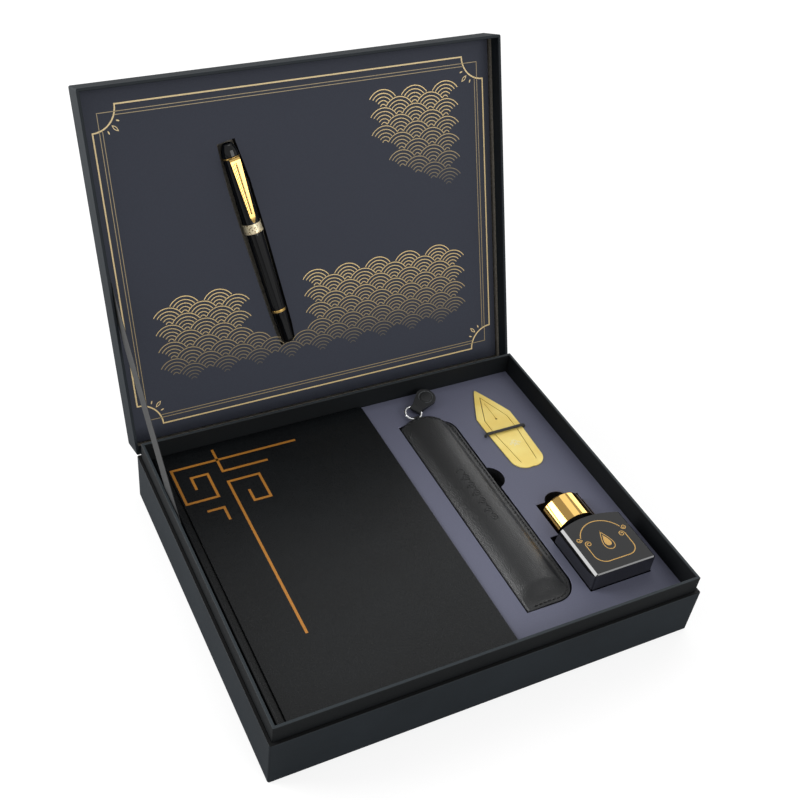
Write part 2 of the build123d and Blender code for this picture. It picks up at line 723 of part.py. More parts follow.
# Endpapers: one pasted to each cover
front_paper_width = notebook_right - cover_overhang - board_left
with BuildPart() as front_endpaper:
    with BuildSketch(Plane.XY.offset(block_top)):
        with Locations((board_left, notebook_middle_y)):
            Rectangle(front_paper_width, block_length, align=(Align.MIN, Align.CENTER))
    extrude(amount=endpaper)
    fillet(front_endpaper.edges().filter_by(Axis.Z).sort_by(Axis.X)[-2:], cover_corner)
front_endpaper.part.label = "front_endpaper"
export_step(front_endpaper.part, "parts/front_endpaper.step")

with BuildPart() as back_endpaper:
    with BuildSketch(Plane.XY.offset(block_bottom - endpaper)):
        with Locations((notebook_left + cover_thickness, notebook_middle_y)):
            Rectangle(block_width, block_length, align=(Align.MIN, Align.CENTER))
    extrude(amount=endpaper)
    fillet(back_endpaper.edges().filter_by(Axis.Z).sort_by(Axis.X)[-2:], cover_corner)
back_endpaper.part.label = "back_endpaper"
export_step(back_endpaper.part, "parts/back_endpaper.step")

# Headbands: a rolled band at the head and the tail of the block, against the spine
headband_x = notebook_left + cover_thickness + headband_radius
headband_y = block_length / 2 + headband_radius
with BuildPart() as headbands:
    with BuildSketch(Plane.XY.offset(block_bottom)):
        with Locations(
            (headband_x, notebook_middle_y + headband_y),
            (headband_x, notebook_middle_y - headband_y),
        ):
            Circle(headband_radius)
    extrude(amount=block_top - block_bottom)
headbands.part.label = "headbands"
export_step(headbands.part, "parts/headbands.step")


# ---------------------------------------------------------------- pouch

pouch_base_z = pouch_floor + seat_gap
pouch_left = pouch_x - pouch_width / 2
pouch_right = pouch_x + pouch_width / 2
crown_x = pouch_x - pouch_crown
crown_z = pouch_base_z + pouch_height
fold_z = pouch_base_z + pouch_height / 2
seam_x = pouch_right - pouch_seam
seam_low = pouch_base_z + pouch_seam_level
seam_high = seam_low + pouch_seam_height
flat_start = pouch_left + pouch_flat_left
flat_end = pouch_right - pouch_flat_right

# Two layers of leather, folded at the left and sewn together along the right and the foot
with BuildPart() as pouch_leather:
    with BuildSketch(Plane.XZ.offset(-pouch_foot_y)):
        with BuildLine():
            under = Line((flat_start, pouch_base_z), (flat_end, pouch_base_z))
            swell = Line(under @ 1, (seam_x, seam_low))
            seam_under = Line(swell @ 1, (pouch_right, seam_low))
            seam_edge = Line(seam_under @ 1, (pouch_right, seam_high))
            seam_top = Line(seam_edge @ 1, (seam_x, seam_high))
            fold_top = (pouch_left + pouch_fold_lean, fold_z)
            crown = ThreePointArc(seam_top @ 1, (crown_x, crown_z), fold_top)
            ThreePointArc(crown @ 1, (pouch_left, (fold_z + pouch_base_z) / 2), under @ 0)
        make_face()
    extrude(amount=-pouch_length)
    with BuildSketch(Plane.XY.offset(pouch_base_z)):
        add(pouch_outline())
    extrude(amount=pouch_height, mode=Mode.INTERSECT)
    with BuildSketch(Plane.XZ.offset(-(pouch_foot_y + pouch_seam))):
        with BuildLine():
            skin = pouch_leather_thickness
            floor_in = Line((flat_start, pouch_base_z + skin), (flat_end, pouch_base_z + skin))
            side_in = Line(floor_in @ 1, (seam_x - skin, (seam_low + seam_high) / 2))
            fold_in = (pouch_left + pouch_fold_lean + skin, fold_z)
            roof_in = ThreePointArc(side_in @ 1, (crown_x, crown_z - skin), fold_in)
            Line(roof_in @ 1, floor_in @ 0)
        make_face()
    extrude(amount=-pouch_length, mode=Mode.SUBTRACT)
pouch_leather.part.label = "pouch_leather"
export_step(pouch_leather.part, "parts/pouch_leather.step")

# Leather keeper: a strap out of the mouth, folded round the ring
keeper_bore = ring_wire + keeper_play
keeper_outer = keeper_bore + keeper_strap
keeper_x = pouch_x - keeper_inset
keeper_y = pouch_top_y + ring_wire + keeper_gap
keeper_z = card_top + seat_gap + keeper_outer
with BuildPart() as ring_keeper:
    with BuildSketch(Plane.YZ.offset(keeper_x)):
        with Locations((keeper_y, keeper_z)):
            Circle(keeper_outer)
        with Locations((keeper_y, keeper_z - keeper_outer)):
            Rectangle(keeper_tongue, keeper_strap, align=(Align.MAX, Align.MIN))
        with Locations((keeper_y, keeper_z)):
            Circle(keeper_bore, mode=Mode.SUBTRACT)
    extrude(amount=keeper_width / 2, both=True)
ring_keeper.part.label = "ring_keeper"
export_step(ring_keeper.part, "parts/ring_keeper.step")

# Steel ring, its near side in the keeper and its far side raised
tilt = radians(ring_tilt)
ring_run = Vector(0, cos(tilt), sin(tilt))
ring_centre = Vector(keeper_x, keeper_y, keeper_z) + ring_run * ring_radius
ring_plane = Plane(origin=ring_centre, x_dir=(1, 0, 0), z_dir=(0, -sin(tilt), cos(tilt)))
ring_section = Plane(origin=ring_centre, x_dir=(1, 0, 0), z_dir=-ring_run)
with BuildPart() as pull_ring:
    with BuildSketch(ring_section):
        with Locations((ring_radius, 0)):
            Circle(ring_wire)
    revolve(axis=Axis(ring_centre, ring_plane.z_dir))
pull_ring.part.label = "pull_ring"
export_step(pull_ring.part, "parts/pull_ring.step")

# Leather pull: a strap folded round the ring's far side, its two layers sewn together.
# Its plane runs out along the ring's radius at the turn and is raised from level.
lean = radians(pull_turn)
rise = radians(pull_rise)
pull_out = ring_plane.x_dir * cos(lean) + ring_plane.y_dir * sin(lean)
pull_across = ring_plane.z_dir.cross(pull_out)
pull_level = Vector(pull_out.X, pull_out.Y, 0).normalized()
pull_run = pull_level * cos(rise) + Vector(0, 0, 1) * sin(rise)
pull_side = Plane(origin=ring_centre + pull_out * ring_radius, x_dir=pull_run, z_dir=-pull_across)
pull_plan = Plane(origin=pull_side.origin, x_dir=pull_run, z_dir=pull_side.y_dir)
bore = ring_wire + pull_play
wire_bow = ring_radius - (ring_radius**2 - (pull_root_width / 2) ** 2) ** 0.5
fold_radius = bore + pull_leather
with BuildPart() as pull_tab:
    with BuildSketch(pull_side):
        with Locations((-wire_bow, 0), (0, 0)):
            Circle(fold_radius)
        with Locations((pull_fold_length, 0)):
            Rectangle(pull_leather, 2 * pull_leather, align=(Align.MIN, Align.CENTER))
        make_hull()
        with Locations((pull_fold_length, 0)):
            Rectangle(pull_length - pull_fold_length, 2 * pull_leather, align=(Align.MIN, Align.CENTER))
        with Locations((-wire_bow / 2, 0)):
            SlotCenterToCenter(wire_bow, 2 * bore, mode=Mode.SUBTRACT)
    extrude(amount=pull_width / 2, both=True)
    with BuildSketch(pull_plan):
        with BuildLine():
            root_x = -wire_bow - fold_radius
            end_x = pull_length - pull_width / 2
            root = Line((root_x, -pull_root_width / 2), (root_x, pull_root_width / 2))
            strap = Line(root @ 1, (0, pull_root_width / 2))
            flank = Line(strap @ 1, (end_x, pull_width / 2))
            round_end = ThreePointArc(flank @ 1, (pull_length, 0), (end_x, -pull_width / 2))
            flank_back = Line(round_end @ 1, (0, -pull_root_width / 2))
            Line(flank_back @ 1, root @ 0)
        make_face()
    extrude(amount=fold_radius, both=True, mode=Mode.INTERSECT)
pull_tab.part.label = "pull_tab"
export_step(pull_tab.part, "parts/pull_tab.step")


# ---------------------------------------------------------------- ink bottle

# Glass: a square body with bevelled edges, an arched shoulder, a neck and a cavity
arch_radius = ((bottle_width / 2) ** 2 + bottle_arch**2) / (2 * bottle_arch)
cavity_end = bottle_body - bottle_wall - bottle_arch
with BuildPart(bottle_frame) as bottle_glass:
    with BuildSketch(bottle_frame):
        Rectangle(bottle_width, bottle_depth)
    extrude(amount=bottle_body)
    chamfer(bottle_glass.edges().filter_by(Axis.Y), bottle_edge)
    chamfer(bottle_glass.faces().sort_by(Axis.Y)[0].edges(), bottle_edge / 2)
    with Locations((0, 0, bottle_body - arch_radius)):
        Sphere(arch_radius, mode=Mode.INTERSECT)
    with BuildSketch(bottle_frame.offset(bottle_body - bottle_arch)):
        Circle(bottle_neck_radius)
    extrude(amount=bottle_arch + bottle_neck)
    with BuildSketch(bottle_frame.offset(bottle_base)):
        RectangleRounded(bottle_width - 2 * bottle_wall, bottle_depth - 2 * bottle_wall, bottle_inner_radius)
    extrude(amount=cavity_end - bottle_base, mode=Mode.SUBTRACT)
    with BuildSketch(bottle_frame.offset(cavity_end)):
        Circle(bottle_mouth_radius)
    extrude(amount=bottle_body, mode=Mode.SUBTRACT)
bottle_glass.part.label = "bottle_glass"
export_step(bottle_glass.part, "parts/bottle_glass.step")

# Ink, which fills the body of the bottle
ink_gap = 0.05
with BuildPart(bottle_frame) as ink:
    with BuildSketch(bottle_frame.offset(bottle_base + ink_gap)):
        RectangleRounded(
            bottle_width - 2 * bottle_wall - 2 * ink_gap,
            bottle_depth - 2 * bottle_wall - 2 * ink_gap,
            bottle_inner_radius,
        )
    extrude(amount=cavity_end - bottle_base - 2 * ink_gap)
ink.part.label = "ink"
export_step(ink.part, "parts/ink.step")

lip = bottle_body + bottle_neck
cap_start = bottle_body + cap_lift
cap_end = cap_start + cap_length
insert_outer = cap_radius - cap_wall
insert_bore = bottle_neck_radius + cap_thread_gap
seal_radius = insert_bore - seat_gap

# Seal: a disc on the glass lip that rises with the cap and doesn't turn
with BuildPart(bottle_frame) as cap_seal:
    with BuildSketch(bottle_frame.offset(lip)):
        Circle(seal_radius)
    extrude(amount=seal_thickness)
cap_seal.part.label = "cap_seal"
export_step(cap_seal.part, "parts/cap_seal.step")

# Plastic insert that screws on the neck
insert_inside = lip + seal_thickness + ink_gap
with BuildPart(bottle_frame) as cap_insert:
    with BuildSketch(bottle_profile):
        profile = turned_face(
            (insert_bore, cap_start),
            (insert_outer, cap_start),
            (insert_outer, cap_end - cap_wall),
            (0, cap_end - cap_wall),
            (0, insert_inside),
            (insert_bore, insert_inside),
        )
        add(profile)
    revolve(axis=bottle_axis)
cap_insert.part.label = "cap_insert"
export_step(cap_insert.part, "parts/cap_insert.step")

# Metal cap shell, drawn as a cup with a soft edge
with BuildPart(bottle_frame) as cap_shell:
    with BuildSketch(bottle_profile):
        with BuildLine():
            rim = Line((insert_outer, cap_start), (cap_radius, cap_start))
            wall = Line(rim @ 1, (cap_radius, cap_end - cap_soft_edge))
            edge = RadiusArc(wall @ 1, (cap_radius - cap_soft_edge, cap_end), -cap_soft_edge)
            top = Line(edge @ 1, (0, cap_end))
            inner_top = Line(top @ 1, (0, cap_end - cap_wall))
            under_top = Line(inner_top @ 1, (insert_outer, cap_end - cap_wall))
            Line(under_top @ 1, rim @ 0)
        make_face()
    revolve(axis=bottle_axis)
cap_shell.part.label = "cap_shell"
export_step(cap_shell.part, "parts/cap_shell.step")


# ---------------------------------------------------------------- bookmark

# Etched brass plate in the shape of a nib, with a tongue that clips a page
shoulder_y = bookmark_length * bookmark_shoulder
waist_y = bookmark_length * bookmark_waist
flank_y = shoulder_y - bookmark_width / 2
bookmark_half = bookmark_width / 2
foot_half = bookmark_foot / 2
tongue_half = bookmark_half - bookmark_border
tongue_shoulder_y = shoulder_y - tongue_shoulder_drop
tongue_flank_y = elastic_y_on_bookmark
tongue_tip_y = bookmark_length - tongue_tip_inset
breather_y = tongue_tip_y - tongue_breather_inset
slit_end_y = tongue_tip_y - tongue_slit_inset
bookmark_plane = Plane(origin=(bookmark_x, bookmark_foot_y, card_top + seat_gap), z_dir=(0, 0, 1))
with BuildPart() as bookmark_plate:
    with BuildSketch(bookmark_plane):
        for side in (1, -1):
            with BuildLine():
                toe = (side * foot_half * bookmark_toe_out, bookmark_foot_rise * bookmark_toe_up)
                foot = ThreePointArc((0, 0), toe, (side * foot_half, bookmark_foot_rise))
                flank = Line(foot @ 1, (side * bookmark_half, flank_y))
                upright = Line(flank @ 1, (side * bookmark_half, shoulder_y))
                waist = (side * bookmark_waist_half, waist_y)
                tip_side = (side * bookmark_tip_half, bookmark_length - bookmark_tip_half)
                blade = ThreePointArc(upright @ 1, waist, tip_side)
                tip = Line(blade @ 1, (0, bookmark_length))
                Line(tip @ 1, (0, 0))
            make_face()
    extrude(amount=bookmark_thickness)
    with BuildSketch(bookmark_plane):
        for side in (1, -1):
            with BuildLine():
                Polyline(
                    (side * tongue_foot_half, tongue_foot),
                    (side * tongue_half, tongue_flank_y),
                    (side * tongue_half, tongue_shoulder_y),
                    (0, tongue_tip_y),
                    (0, tongue_tip_y - 3 * tongue_slot),
                    (side * (tongue_half - tongue_slot), tongue_shoulder_y),
                    (side * (tongue_half - tongue_slot), tongue_flank_y),
                    (side * (tongue_foot_half - tongue_slot), tongue_foot),
                    close=True,
                )
            make_face()
        with Locations((0, breather_y)):
            Circle(tongue_breather_radius)
            Rectangle(tongue_slit, slit_end_y - breather_y, align=(Align.CENTER, Align.MIN))
    extrude(amount=bookmark_thickness, mode=Mode.SUBTRACT)
bookmark_plate.part.label = "bookmark_plate"
export_step(bookmark_plate.part, "parts/bookmark_plate.step")


# ---------------------------------------------------------------- fountain pen

cap_bore = cap_mouth_radius - pen_cap_wall
inner_cap_radius = cap_bore - inner_cap_taper
barrel_start = cap_mouth + barrel_gap
barrel_bore = barrel_back_radius - barrel_wall
ring_seat = finial_length + clip_ring_length

# Finial: the turned end of the cap, with a spigot into it
with BuildPart() as pen_finial:
    with BuildSketch(pen_profile):
        with BuildLine():
            face_line = Line((0, 0), (finial_tip_radius - finial_edge, 0))
            edge = RadiusArc(face_line @ 1, (finial_tip_radius, finial_edge), -finial_edge)
            middle_radius = (finial_tip_radius + cap_top_radius) / 2 + finial_bulge
            middle = (middle_radius, finial_length / 2)
            flare = ThreePointArc(edge @ 1, middle, (cap_top_radius, finial_length))
            step = Line(flare @ 1, (spigot_radius, finial_length))
            spigot = Line(step @ 1, (spigot_radius, ring_seat + spigot_length))
            end_line = Line(spigot @ 1, (0, ring_seat + spigot_length))
            Line(end_line @ 1, face_line @ 0)
        make_face()
    revolve(axis=pen_axis)
pen_finial.part.label = "pen_finial"
export_step(pen_finial.part, "parts/pen_finial.step")

# Ring between the finial and the cap, which carries the clip
with BuildPart() as clip_ring:
    with BuildSketch(pen_profile):
        profile = turned_face(
            (spigot_radius, finial_length),
            (clip_ring_radius, finial_length),
            (clip_ring_radius, ring_seat),
            (spigot_radius, ring_seat),
        )
        add(profile)
    revolve(axis=pen_axis)
clip_ring.part.label = "clip_ring"
export_step(clip_ring.part, "parts/clip_ring.step")

# Cap: a lacquered tube, narrower under its band
band_seat = cap_mouth_radius - band_inlay
cap_floor = ring_seat + spigot_length + pen_cap_wall
with BuildPart() as pen_cap:
    with BuildSketch(pen_profile):
        profile = turned_face(
            (spigot_radius, ring_seat),
            (cap_top_radius, ring_seat),
            (cap_mouth_radius, band_start),
            (band_seat, band_start),
            (band_seat, band_start + band_length),
            (cap_mouth_radius, band_start + band_length),
            (cap_mouth_radius, cap_mouth),
            (cap_bore, cap_mouth),
            (cap_bore, band_start),
            (inner_cap_radius, cap_floor),
            (spigot_radius, cap_floor),
        )
        add(profile)
    revolve(axis=pen_axis)
pen_cap.part.label = "pen_cap"
export_step(pen_cap.part, "parts/pen_cap.step")

# Broad band round the cap's mouth, with raised rims
band_end = band_start + band_length
band_field = band_radius - band_field_depth
with BuildPart() as cap_band:
    with BuildSketch(pen_profile):
        profile = turned_face(
            (band_seat, band_start),
            (band_radius, band_start),
            (band_radius, band_start + band_rim),
            (band_field, band_start + band_rim),
            (band_field, band_end - band_rim),
            (band_radius, band_end - band_rim),
            (band_radius, band_end),
            (band_seat, band_end),
        )
        add(profile)
    revolve(axis=pen_axis)
cap_band.part.label = "cap_band"
export_step(cap_band.part, "parts/cap_band.step")

# Clip: a sprung strip from the ring, tapering to a tip that bears on the cap
clip_inner = cap_top_radius + clip_standoff
clip_outer = clip_inner + clip_thickness
clip_foot = finial_length + band_inlay / 2
clip_shoulder = clip_foot + clip_bend
clip_end = ring_seat + clip_length
clip_taper_end = clip_end - clip_tip_chamfer
groove_middle = (clip_shoulder + clip_taper_end) / 2
groove_length = clip_taper_end - clip_shoulder - clip_base_width / 2
clip_plan = Plane(origin=pen_top_point, x_dir=pen_frame.y_dir, z_dir=pen_frame.x_dir)
with BuildPart() as pen_clip:
    with BuildSketch(pen_profile):
        with BuildLine():
            root_point = (clip_ring_radius, clip_foot)
            outer_bend = RadiusArc(root_point, (clip_outer, clip_shoulder), -clip_bend_radius)
            outer_run = Line(outer_bend @ 1, (clip_outer, clip_taper_end))
            outer_tip = Line(outer_run @ 1, (clip_outer - clip_thickness / 2, clip_end))
            tip_face = Line(outer_tip @ 1, (clip_inner - clip_tip_drop, clip_end))
            inner_run = Line(tip_face @ 1, (clip_inner, clip_shoulder + clip_thickness / 2))
            inner_bend = Line(inner_run @ 1, (clip_ring_radius, ring_seat - band_inlay / 3))
            Line(inner_bend @ 1, outer_bend @ 0)
        make_face()
    extrude(amount=clip_base_width / 2, both=True)
    with BuildSketch(clip_plan):
        with BuildLine():
            Polyline(
                (-clip_base_width / 2, clip_foot),
                (clip_base_width / 2, clip_foot),
                (clip_tip_width / 2, clip_taper_end),
                (clip_tip_half, clip_end),
                (-clip_tip_half, clip_end),
                (-clip_tip_width / 2, clip_taper_end),
                close=True,
            )
        make_face()
    extrude(amount=2 * clip_outer, mode=Mode.INTERSECT)
    with BuildSketch(clip_plan.offset(clip_outer - clip_groove_depth)):
        with Locations((0, groove_middle)):
            SlotOverall(groove_length, clip_groove_width, rotation=90)
    extrude(amount=2 * clip_groove_depth, mode=Mode.SUBTRACT)
pen_clip.part.label = "pen_clip"
export_step(pen_clip.part, "parts/pen_clip.step")

# Inner cap: a plastic sleeve that keeps the nib from drying
inner_cap_end = section_start - inner_cap_end_gap
inner_cap_floor = cap_floor + inner_cap_wall
with BuildPart() as inner_cap:
    with BuildSketch(pen_profile):
        profile = turned_face(
            (0, cap_floor),
            (inner_cap_radius, cap_floor),
            (inner_cap_radius, inner_cap_end),
            (inner_cap_radius - inner_cap_wall, inner_cap_end),
            (inner_cap_radius - inner_cap_wall, inner_cap_floor),
            (0, inner_cap_floor),
        )
        add(profile)
    revolve(axis=pen_axis)
inner_cap.part.label = "inner_cap"
export_step(inner_cap.part, "parts/inner_cap.step")

# Grip section: the front of the pen, screwed into the barrel
section_back = cap_bore - section_fit
thread_end = barrel_start + section_thread
thread_radius = barrel_bore - barrel_gap
with BuildPart() as grip_section:
    with BuildSketch(pen_profile):
        profile = turned_face(
            (section_bore, section_start),
            (section_lip, section_start),
            (section_waist, section_start + section_lip_length),
            (section_back, barrel_start - section_collar),
            (section_back, barrel_start),
            (thread_radius, barrel_start),
            (thread_radius, thread_end),
            (section_bore, thread_end),
        )
        add(profile)
    revolve(axis=pen_axis)
grip_section.part.label = "grip_section"
export_step(grip_section.part, "parts/grip_section.step")

# Nib: a curved sheet, cut to a point, with its slit and breather hole
nib_radius = section_bore - nib_fit
nib_shoulder = nib_start + nib_blade
nib_end = nib_start + nib_length
nib_tip_half = nib_slit * 1.5
with BuildPart() as nib:
    with BuildSketch(pen_frame.offset(nib_start)):
        Circle(nib_radius)
        Circle(nib_radius - nib_sheet, mode=Mode.SUBTRACT)
    extrude(amount=nib_length)
    with BuildSketch(clip_plan.offset(nib_sheet)):
        with BuildLine():
            Polyline(
                (-nib_tip_half, nib_start),
                (nib_tip_half, nib_start),
                (nib_radius, nib_shoulder),
                (nib_radius, nib_end),
                (-nib_radius, nib_end),
                (-nib_radius, nib_shoulder),
                close=True,
            )
        make_face()
        with Locations((0, nib_start + nib_breather)):
            Circle(3 * nib_slit, mode=Mode.SUBTRACT)
        with Locations((0, nib_start)):
            Rectangle(nib_slit, nib_breather, align=(Align.CENTER, Align.MIN), mode=Mode.SUBTRACT)
    extrude(amount=nib_radius, mode=Mode.INTERSECT)
nib.part.label = "nib"
export_step(nib.part, "parts/nib.step")

# Feed: the finned plastic bar under the nib
feed_radius = nib_radius - nib_sheet - nib_fit
feed_start = nib_start + feed_set_back
with BuildPart() as feed:
    with BuildSketch(pen_frame.offset(feed_start)):
        Circle(feed_radius)
    extrude(amount=nib_end - feed_start)
    for fin in range(feed_fins):
        with BuildSketch(pen_frame.offset(feed_start + feed_tip + fin * fin_pitch)):
            Rectangle(2 * feed_radius, 2 * feed_radius, align=(Align.MAX, Align.CENTER))
            Circle(feed_radius - fin_depth, mode=Mode.SUBTRACT)
        extrude(amount=fin_gap, mode=Mode.SUBTRACT)
feed.part.label = "feed"
export_step(feed.part, "parts/feed.step")

# Converter: the ink reservoir, pushed on the back of the section
converter_end = converter_start + converter_length
with BuildPart() as converter:
    with BuildSketch(pen_profile):
        profile = turned_face(
            (0, thread_end + 2 * nib_fit),
            (section_bore - 2 * nib_fit, thread_end + 2 * nib_fit),
            (section_bore - 2 * nib_fit, converter_start),
            (converter_radius, converter_start),
            (converter_radius, converter_end - converter_collar),
            (converter_radius - converter_collar_step, converter_end - converter_collar),
            (converter_radius - converter_collar_step, converter_end),
            (0, converter_end),
        )
        add(profile)
    revolve(axis=pen_axis)
converter.part.label = "converter"
export_step(converter.part, "parts/converter.step")

# Barrel: a lacquered tube, closed by the tail's spigot
with BuildPart() as pen_barrel:
    with BuildSketch(pen_profile):
        profile = turned_face(
            (barrel_bore, barrel_start),
            (barrel_front_radius, barrel_start),
            (barrel_back_radius, barrel_ring_start),
            (barrel_bore, barrel_ring_start),
        )
        add(profile)
    revolve(axis=pen_axis)
pen_barrel.part.label = "pen_barrel"
export_step(pen_barrel.part, "parts/pen_barrel.step")

# Thin ring between the barrel and the tail
tail_start = barrel_ring_start + barrel_ring_length
with BuildPart() as barrel_ring:
    with BuildSketch(pen_profile):
        profile = turned_face(
            (spigot_radius, barrel_ring_start),
            (barrel_ring_radius, barrel_ring_start),
            (barrel_ring_radius, tail_start),
            (spigot_radius, tail_start),
        )
        add(profile)
    revolve(axis=pen_axis)
barrel_ring.part.label = "barrel_ring"
export_step(barrel_ring.part, "parts/barrel_ring.step")

# Tail: the turned end of the barrel, with a spigot back into it
spigot_start = barrel_ring_start - spigot_length
with BuildPart() as pen_tail:
    with BuildSketch(pen_profile):
        with BuildLine():
            spigot_end = Line((0, spigot_start), (spigot_radius, spigot_start))
            spigot = Line(spigot_end @ 1, (spigot_radius, tail_start))
            step = Line(spigot @ 1, (barrel_back_radius, tail_start))
            flank = Line(step @ 1, (tail_radius, pen_length - tail_round))
            nose = RadiusArc(flank @ 1, (tail_radius - tail_round, pen_length), -tail_round)
            end_line = Line(nose @ 1, (0, pen_length))
            Line(end_line @ 1, spigot_end @ 0)
        make_face()
    revolve(axis=pen_axis)
pen_tail.part.label = "pen_tail"
export_step(pen_tail.part, "parts/pen_tail.step")
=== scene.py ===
"""Calligraphy set box: the finish of every piece, and the pieces that cloth, leather, thread and foil make.

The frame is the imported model: its nodes keep their place and get real materials, and what is
soft, sewn, printed or stamped is modelled here and rides on the same bodies.
"""

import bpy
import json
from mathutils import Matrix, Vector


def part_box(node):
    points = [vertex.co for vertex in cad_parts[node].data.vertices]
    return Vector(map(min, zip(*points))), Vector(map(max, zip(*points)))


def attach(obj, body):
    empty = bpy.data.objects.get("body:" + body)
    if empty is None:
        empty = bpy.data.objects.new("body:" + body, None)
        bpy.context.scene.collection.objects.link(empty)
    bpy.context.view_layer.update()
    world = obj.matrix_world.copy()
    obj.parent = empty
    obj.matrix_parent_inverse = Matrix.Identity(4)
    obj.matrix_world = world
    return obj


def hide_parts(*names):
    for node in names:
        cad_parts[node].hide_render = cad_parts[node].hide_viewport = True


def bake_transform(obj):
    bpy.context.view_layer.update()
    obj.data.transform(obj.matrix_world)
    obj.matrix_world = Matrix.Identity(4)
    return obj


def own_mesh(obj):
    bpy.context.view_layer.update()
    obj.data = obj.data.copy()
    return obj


bl_info = {
    "name": "Calligraphy Set Box",
    "version": (1, 0, 0),
    "blender": (4, 5, 0),
    "location": "View3D > Sidebar > Set Box",
    "description": "Finishes and models the soft and printed pieces of a calligraphy set box",
    "category": "Object",
}

import json
from math import atan2, cos, degrees, pi, radians, sin, sqrt

import bmesh
import bpy
from bpy.props import FloatProperty, FloatVectorProperty, IntProperty, PointerProperty
from mathutils import Matrix, Vector

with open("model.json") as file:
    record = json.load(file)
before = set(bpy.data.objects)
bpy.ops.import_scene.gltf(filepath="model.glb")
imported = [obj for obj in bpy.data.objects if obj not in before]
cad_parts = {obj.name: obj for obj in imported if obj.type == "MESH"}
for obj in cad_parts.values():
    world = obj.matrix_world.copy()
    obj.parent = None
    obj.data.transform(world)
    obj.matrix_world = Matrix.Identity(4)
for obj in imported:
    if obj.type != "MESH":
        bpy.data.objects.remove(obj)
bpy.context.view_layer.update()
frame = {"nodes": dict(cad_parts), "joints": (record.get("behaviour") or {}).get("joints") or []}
NODES = frame["nodes"]
JOINTS = {joint["name"]: joint for joint in frame["joints"]}
MM = 0.001
MERGE = 0.002 * MM  # vertices nearer than this are one
ABOVE = 0.2  # metres, the height that lines and stitches are laid down from
DOWN = Vector((0, 0, -1))

# The lid's own frame: origin on the hinge, Z out of the shut lid, turned back by its opening
HINGE = Vector(JOINTS["lid_hinge"]["pos_m"])
OPENING = radians(max(abs(limit) for limit in JOINTS["lid_hinge"]["range_deg"]))
LID = Matrix.Translation(HINGE) @ Matrix.Rotation(-OPENING, 4, "X")
# The same with Z turned round, out of the lining
LINING = LID @ Matrix.Diagonal((1, 1, -1, 1))


# ---------------------------------------------------------------- points and colours


def linear(hex_colour):
    """An sRGB hex colour as linear RGBA."""
    parts = [int(hex_colour[i : i + 2], 16) / 255 for i in (0, 2, 4)]
    return (*[c / 12.92 if c <= 0.04045 else ((c + 0.055) / 1.055) ** 2.4 for c in parts], 1.0)


def shade(colour, share):
    """A linear colour made darker or lighter."""
    return (*[min(1, c * share) for c in colour[:3]], 1.0)


def mean(points):
    """The middle of some points."""
    return sum(points, Vector()) / len(points)


def corners_of(node):
    """The places of a node's vertices."""
    return [v.co for v in NODES[node].data.vertices]


def lid_box(node):
    """(lowest, highest) corner of a node in the lid's own frame."""
    inverse = LID.inverted()
    points = [inverse @ place for place in corners_of(node)]
    return [Vector([pick(p[i] for p in points) for i in range(3)]) for pick in (min, max)]


def arc(centre, radius, start, end, steps):
    """Points of an arc, in degrees from +X."""
    turns = [radians(start + (end - start) * i / steps) for i in range(steps + 1)]
    return [(centre[0] + radius * cos(t), centre[1] + radius * sin(t)) for t in turns]


def three_point_arc(a, b, c, steps):
    """Points of the arc from a through b to c."""
    ax, ay, bx, by, cx, cy = *a, *b, *c
    d = 2 * (ax * (by - cy) + bx * (cy - ay) + cx * (ay - by))
    sa, sb, sc = ax * ax + ay * ay, bx * bx + by * by, cx * cx + cy * cy
    x = (sa * (by - cy) + sb * (cy - ay) + sc * (ay - by)) / d
    y = (sa * (cx - bx) + sb * (ax - cx) + sc * (bx - ax)) / d
    radius = sqrt((ax - x) ** 2 + (ay - y) ** 2)
    start, end = degrees(atan2(ay - y, ax - x)), degrees(atan2(cy - y, cx - x))
    return arc((x, y), radius, start, end, steps)


def spiral(centre, outer, inner, start, sweep, steps):
    """Points of a spiral that closes in from its outer to its inner radius, in degrees from +X."""
    points = []
    for step in range(steps + 1):
        share = step / steps
        radius = outer + (inner - outer) * share
        turn = radians(start + sweep * share)
        points.append((centre[0] + radius * cos(turn), centre[1] + radius * sin(turn)))
    return points


def evenly(points, pitch):
    """Points along a line of flat points, pitch apart."""
    line = [Vector((p[0], p[1])) for p in points]
    placed = [line[0].copy()]
    spare = pitch
    for a, b in zip(line, line[1:]):
        run = (b - a).length
        while spare <= run:
            placed.append(a.lerp(b, spare / run))
            spare += pitch
        spare -= run
    return placed


# ---------------------------------------------------------------- modelling


def deselect():
    """Nothing is selected, in object mode."""
    if bpy.context.mode != "OBJECT":
        bpy.ops.object.mode_set(mode="OBJECT")
    bpy.ops.object.select_all(action="DESELECT")


def activate(piece):
    """Only this piece is selected, and it is active."""
    deselect()
    piece.select_set(True)
    bpy.context.view_layer.objects.active = piece
    return piece


def new_piece(name):
    """The primitive that was just added, named."""
    piece = bpy.context.view_layer.objects.active
    piece.name = name
    piece.data.name = name
    return piece


def primitive(name, kind, **settings):
    """A new mesh primitive, named."""
    deselect()
    getattr(bpy.ops.mesh, f"primitive_{kind}_add")(**settings)
    return new_piece(name)


def set_down(piece, scale):
    """Gives the piece a size, and applies its place, turn and size to its mesh."""
    activate(piece)
    piece.scale = scale
    bpy.ops.object.transform_apply(location=True, rotation=True, scale=True)
    return piece


def modify(piece, kind, **settings):
    """Adds a modifier with its settings and applies it."""
    activate(piece)
    modifier = piece.modifiers.new(kind.title(), kind)
    for name, value in settings.items():
        setattr(modifier, name, value)
    bpy.ops.object.modifier_apply(modifier=modifier.name)
    return piece


def edit(piece, action="SELECT"):
    """The piece in edit mode, with all of it selected."""
    activate(piece)
    bpy.ops.object.mode_set(mode="EDIT")
    bpy.ops.mesh.select_all(action=action)


